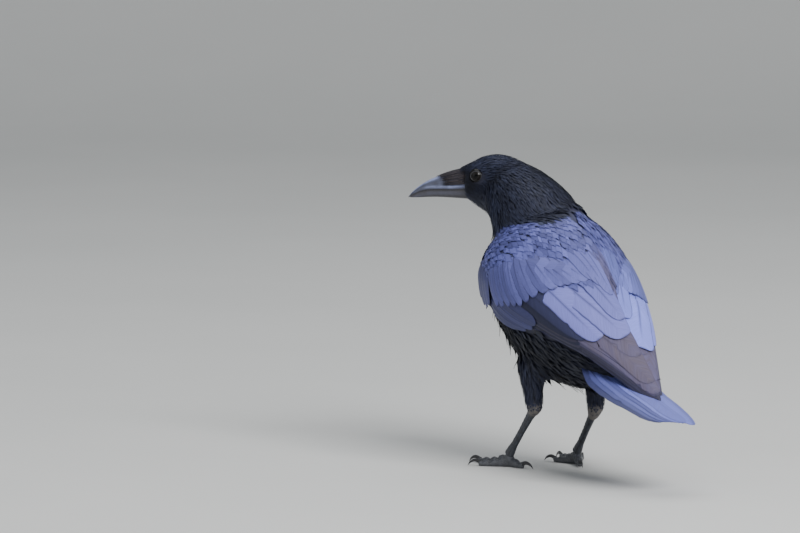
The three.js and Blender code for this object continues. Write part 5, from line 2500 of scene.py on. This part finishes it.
@dataclass
class Setting:
    """Floor, lights and camera."""

    lens: float = 400.0
    sensor: float = 36.0
    distance: float = 8.444
    right: Triple = (-0.848048, 0.529919, 0.0)
    up: Triple = (-0.059990, -0.096004, 0.993572)
    back: Triple = (0.526513, 0.842596, 0.113203)
    aim: tuple[float, float] = (-0.13585, 0.18668)
    look_at: Triple = (0.0, 0.0, 0.15)
    floor_up: float = -0.0004

    def camera(self, shift: Array) -> None:
        """Sets the camera behind the bird's left side.

        Args:
            shift: Move from the bird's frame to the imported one, in millimetres.
        """
        right, up, back = (Vector(v) for v in (self.right, self.up, self.back))
        target = Vector(shift * MM) + right * self.aim[0] + up * self.aim[1]
        data = bpy.data.cameras.new("camera")
        data.lens = self.lens
        data.sensor_width = self.sensor
        data.clip_end = 50.0
        camera = Studio.add("camera", data)
        camera.rotation_mode = "QUATERNION"
        turn = np.stack([list(right), list(up), list(back)], 1)
        camera.rotation_quaternion = Matrix(turn.tolist()).to_quaternion()
        camera.location = target + back * self.distance
        bpy.context.scene.camera = camera

    def lamp(self, name: str, at: Triple, size: float, power: float,
             colour: Triple) -> None:
        """Adds one soft square lamp that faces the bird.

        Args:
            name: The lamp's name.
            at: Its place, in metres.
            size: Its side, in metres.
            power: Its power, in watts.
            colour: Its colour.
        """
        data = bpy.data.lights.new(name, "AREA")
        data.shape = "SQUARE"
        data.size = size
        data.energy = power
        data.color = colour
        lamp = Studio.add(name, data)
        lamp.location = at
        lamp.rotation_mode = "QUATERNION"
        lamp.rotation_quaternion = (Vector(self.look_at) - Vector(at)).to_track_quat("-Z", "Y")

    def floor(self) -> None:
        """Lays a plain pale floor that turns up far behind the bird."""
        across, along = 60, 60
        x = np.linspace(-9, 9, across)
        away = np.linspace(-7.5, 7.5, along)
        back = np.array(self.back) * np.array([1, 1, 0])
        back = back / np.linalg.norm(back)
        right = np.array(self.right)
        rise = np.maximum(0, -away - 3.2) ** 2 * 0.45
        points = x[None, :, None] * right + away[:, None, None] * back
        points[..., 2] = self.floor_up + rise[:, None]
        mesh = bpy.data.meshes.new("floor")
        mesh.from_pydata(points.reshape(-1, 3).tolist(), [], grid_quads(along, across)[:, ::-1].tolist())
        mesh.polygons.foreach_set("use_smooth", np.ones(len(mesh.polygons), bool))
        mesh.materials.append(PaperFinish().build())
        floor = Studio.add("floor", mesh)

    def build(self, shift: Array) -> None:
        """Sets camera, floor and lights.

        Args:
            shift: Move from the bird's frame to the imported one, in millimetres.
        """
        self.camera(shift)
        self.floor()
        right, back = np.array(self.right), np.array(self.back) * np.array([1, 1, 0])
        key = right * 1.6 + back * 2.3 + np.array([0, 0, 2.3])
        fill = -right * 2.4 + back * 1.8 + np.array([0, 0, 1.2])
        over = -back * 0.8 + np.array([0, 0, 3.0])
        for name, at, size, power, colour in (
            ("key", key, 1.8, 165.0, (1.0, 0.99, 0.98)),
            ("fill", fill, 2.4, 16.0, (0.93, 0.96, 1.0)),
            ("over", over, 2.4, 38.0, (0.97, 0.98, 1.0)),
        ):
            self.lamp(name, tuple(at), size, power, colour)
        world = bpy.data.worlds.new("studio")
        world.use_nodes = True
        sky = world.node_tree.nodes["Background"]
        sky.inputs["Color"].default_value = (0.86, 0.9, 0.94, 1.0)
        sky.inputs["Strength"].default_value = 0.32
        bpy.context.scene.world = world


# ---- the bird -----------------------------------------------------------------------------


def main() -> None:
    """Builds the crow and its studio, in order."""
    logging.basicConfig(level=logging.INFO, format="%(name)s: %(message)s", stream=sys.stdout)
    studio = Studio()
    studio.settle()
    Setting().build(studio.shift)

    glossy = VaneFinish("glossy_feathers").build()
    # Painted light: a brighter copy of the feather finish, for the right wing and the tail.
    painted_lit = VaneFinish("painted_lit_feathers", painted_gleam=(0.225, 0.260, 0.78)).build()
    # A darker painted sheen for the mantle and lesser coverts.
    mantle = VaneFinish("mantle_painted_sheen", painted_gleam=(0.125, 0.137, 0.42), rim=0.6, vary=0.3).build()
    dull = VaneFinish(
        "dull_feathers", painted_gleam=(0.10, 0.12, 0.24), rough=0.55, streak=0.7, vary=0.5, rim=0.4,
        specular=0.25).build()
    horn = HornFinish("bill_horn").build()
    claw = HornFinish(
        "claw_horn", dark=(0.012, 0.012, 0.015), wear_and_highlight=(0.05, 0.05, 0.055), brown=(0.075, 0.066, 0.070),
        rough=0.3).build()
    scales = ScaleFinish().build()
    wet = EyeFinish().build()
    lid = ScaleFinish("lid_skin", dark=(0.012, 0.012, 0.016), light=(0.035, 0.036, 0.045)).build()
    mat = VaneFinish(
        "bristle_feathers", painted_gleam=(0.09, 0.09, 0.14), worn=(0.075, 0.060, 0.055), rough=0.6, streak=0.8,
        vary=0.7, rim=0.4, specular=0.2).build()

    wings = {side: WingFace(side) for side in (1, -1)}
    guide = Envelope(studio)
    guide.build()
    body = BodyMap(guide, wings)
    body.build()
    log.info("body map done")
    Skin(guide, body, studio).build(SkinFinish().build())
    Coat(guide, body, np.random.default_rng(SEED)).build(studio, mantle, dull)
    for side in (1, -1):
        wing = Wing(side, wings[side], studio, np.random.default_rng(SEED + side))
        wing.build(glossy if side > 0 else painted_lit)
    Tail(studio, np.random.default_rng(SEED + 5)).build(painted_lit)
    Bill(studio, np.random.default_rng(SEED + 9)).build(horn, mat)
    for side in (1, -1):
        Eye(side, studio).build(wet, lid)
    Leg("left", HEELS[0], (-2.5, 39.4, 12), 14, 190, studio).build(scales, claw)
    Leg("right", HEELS[1], (-21.5, -24.6, 12), -8, 156, studio).build(scales, claw)

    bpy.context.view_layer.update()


if __name__ == "__main__":
    main()
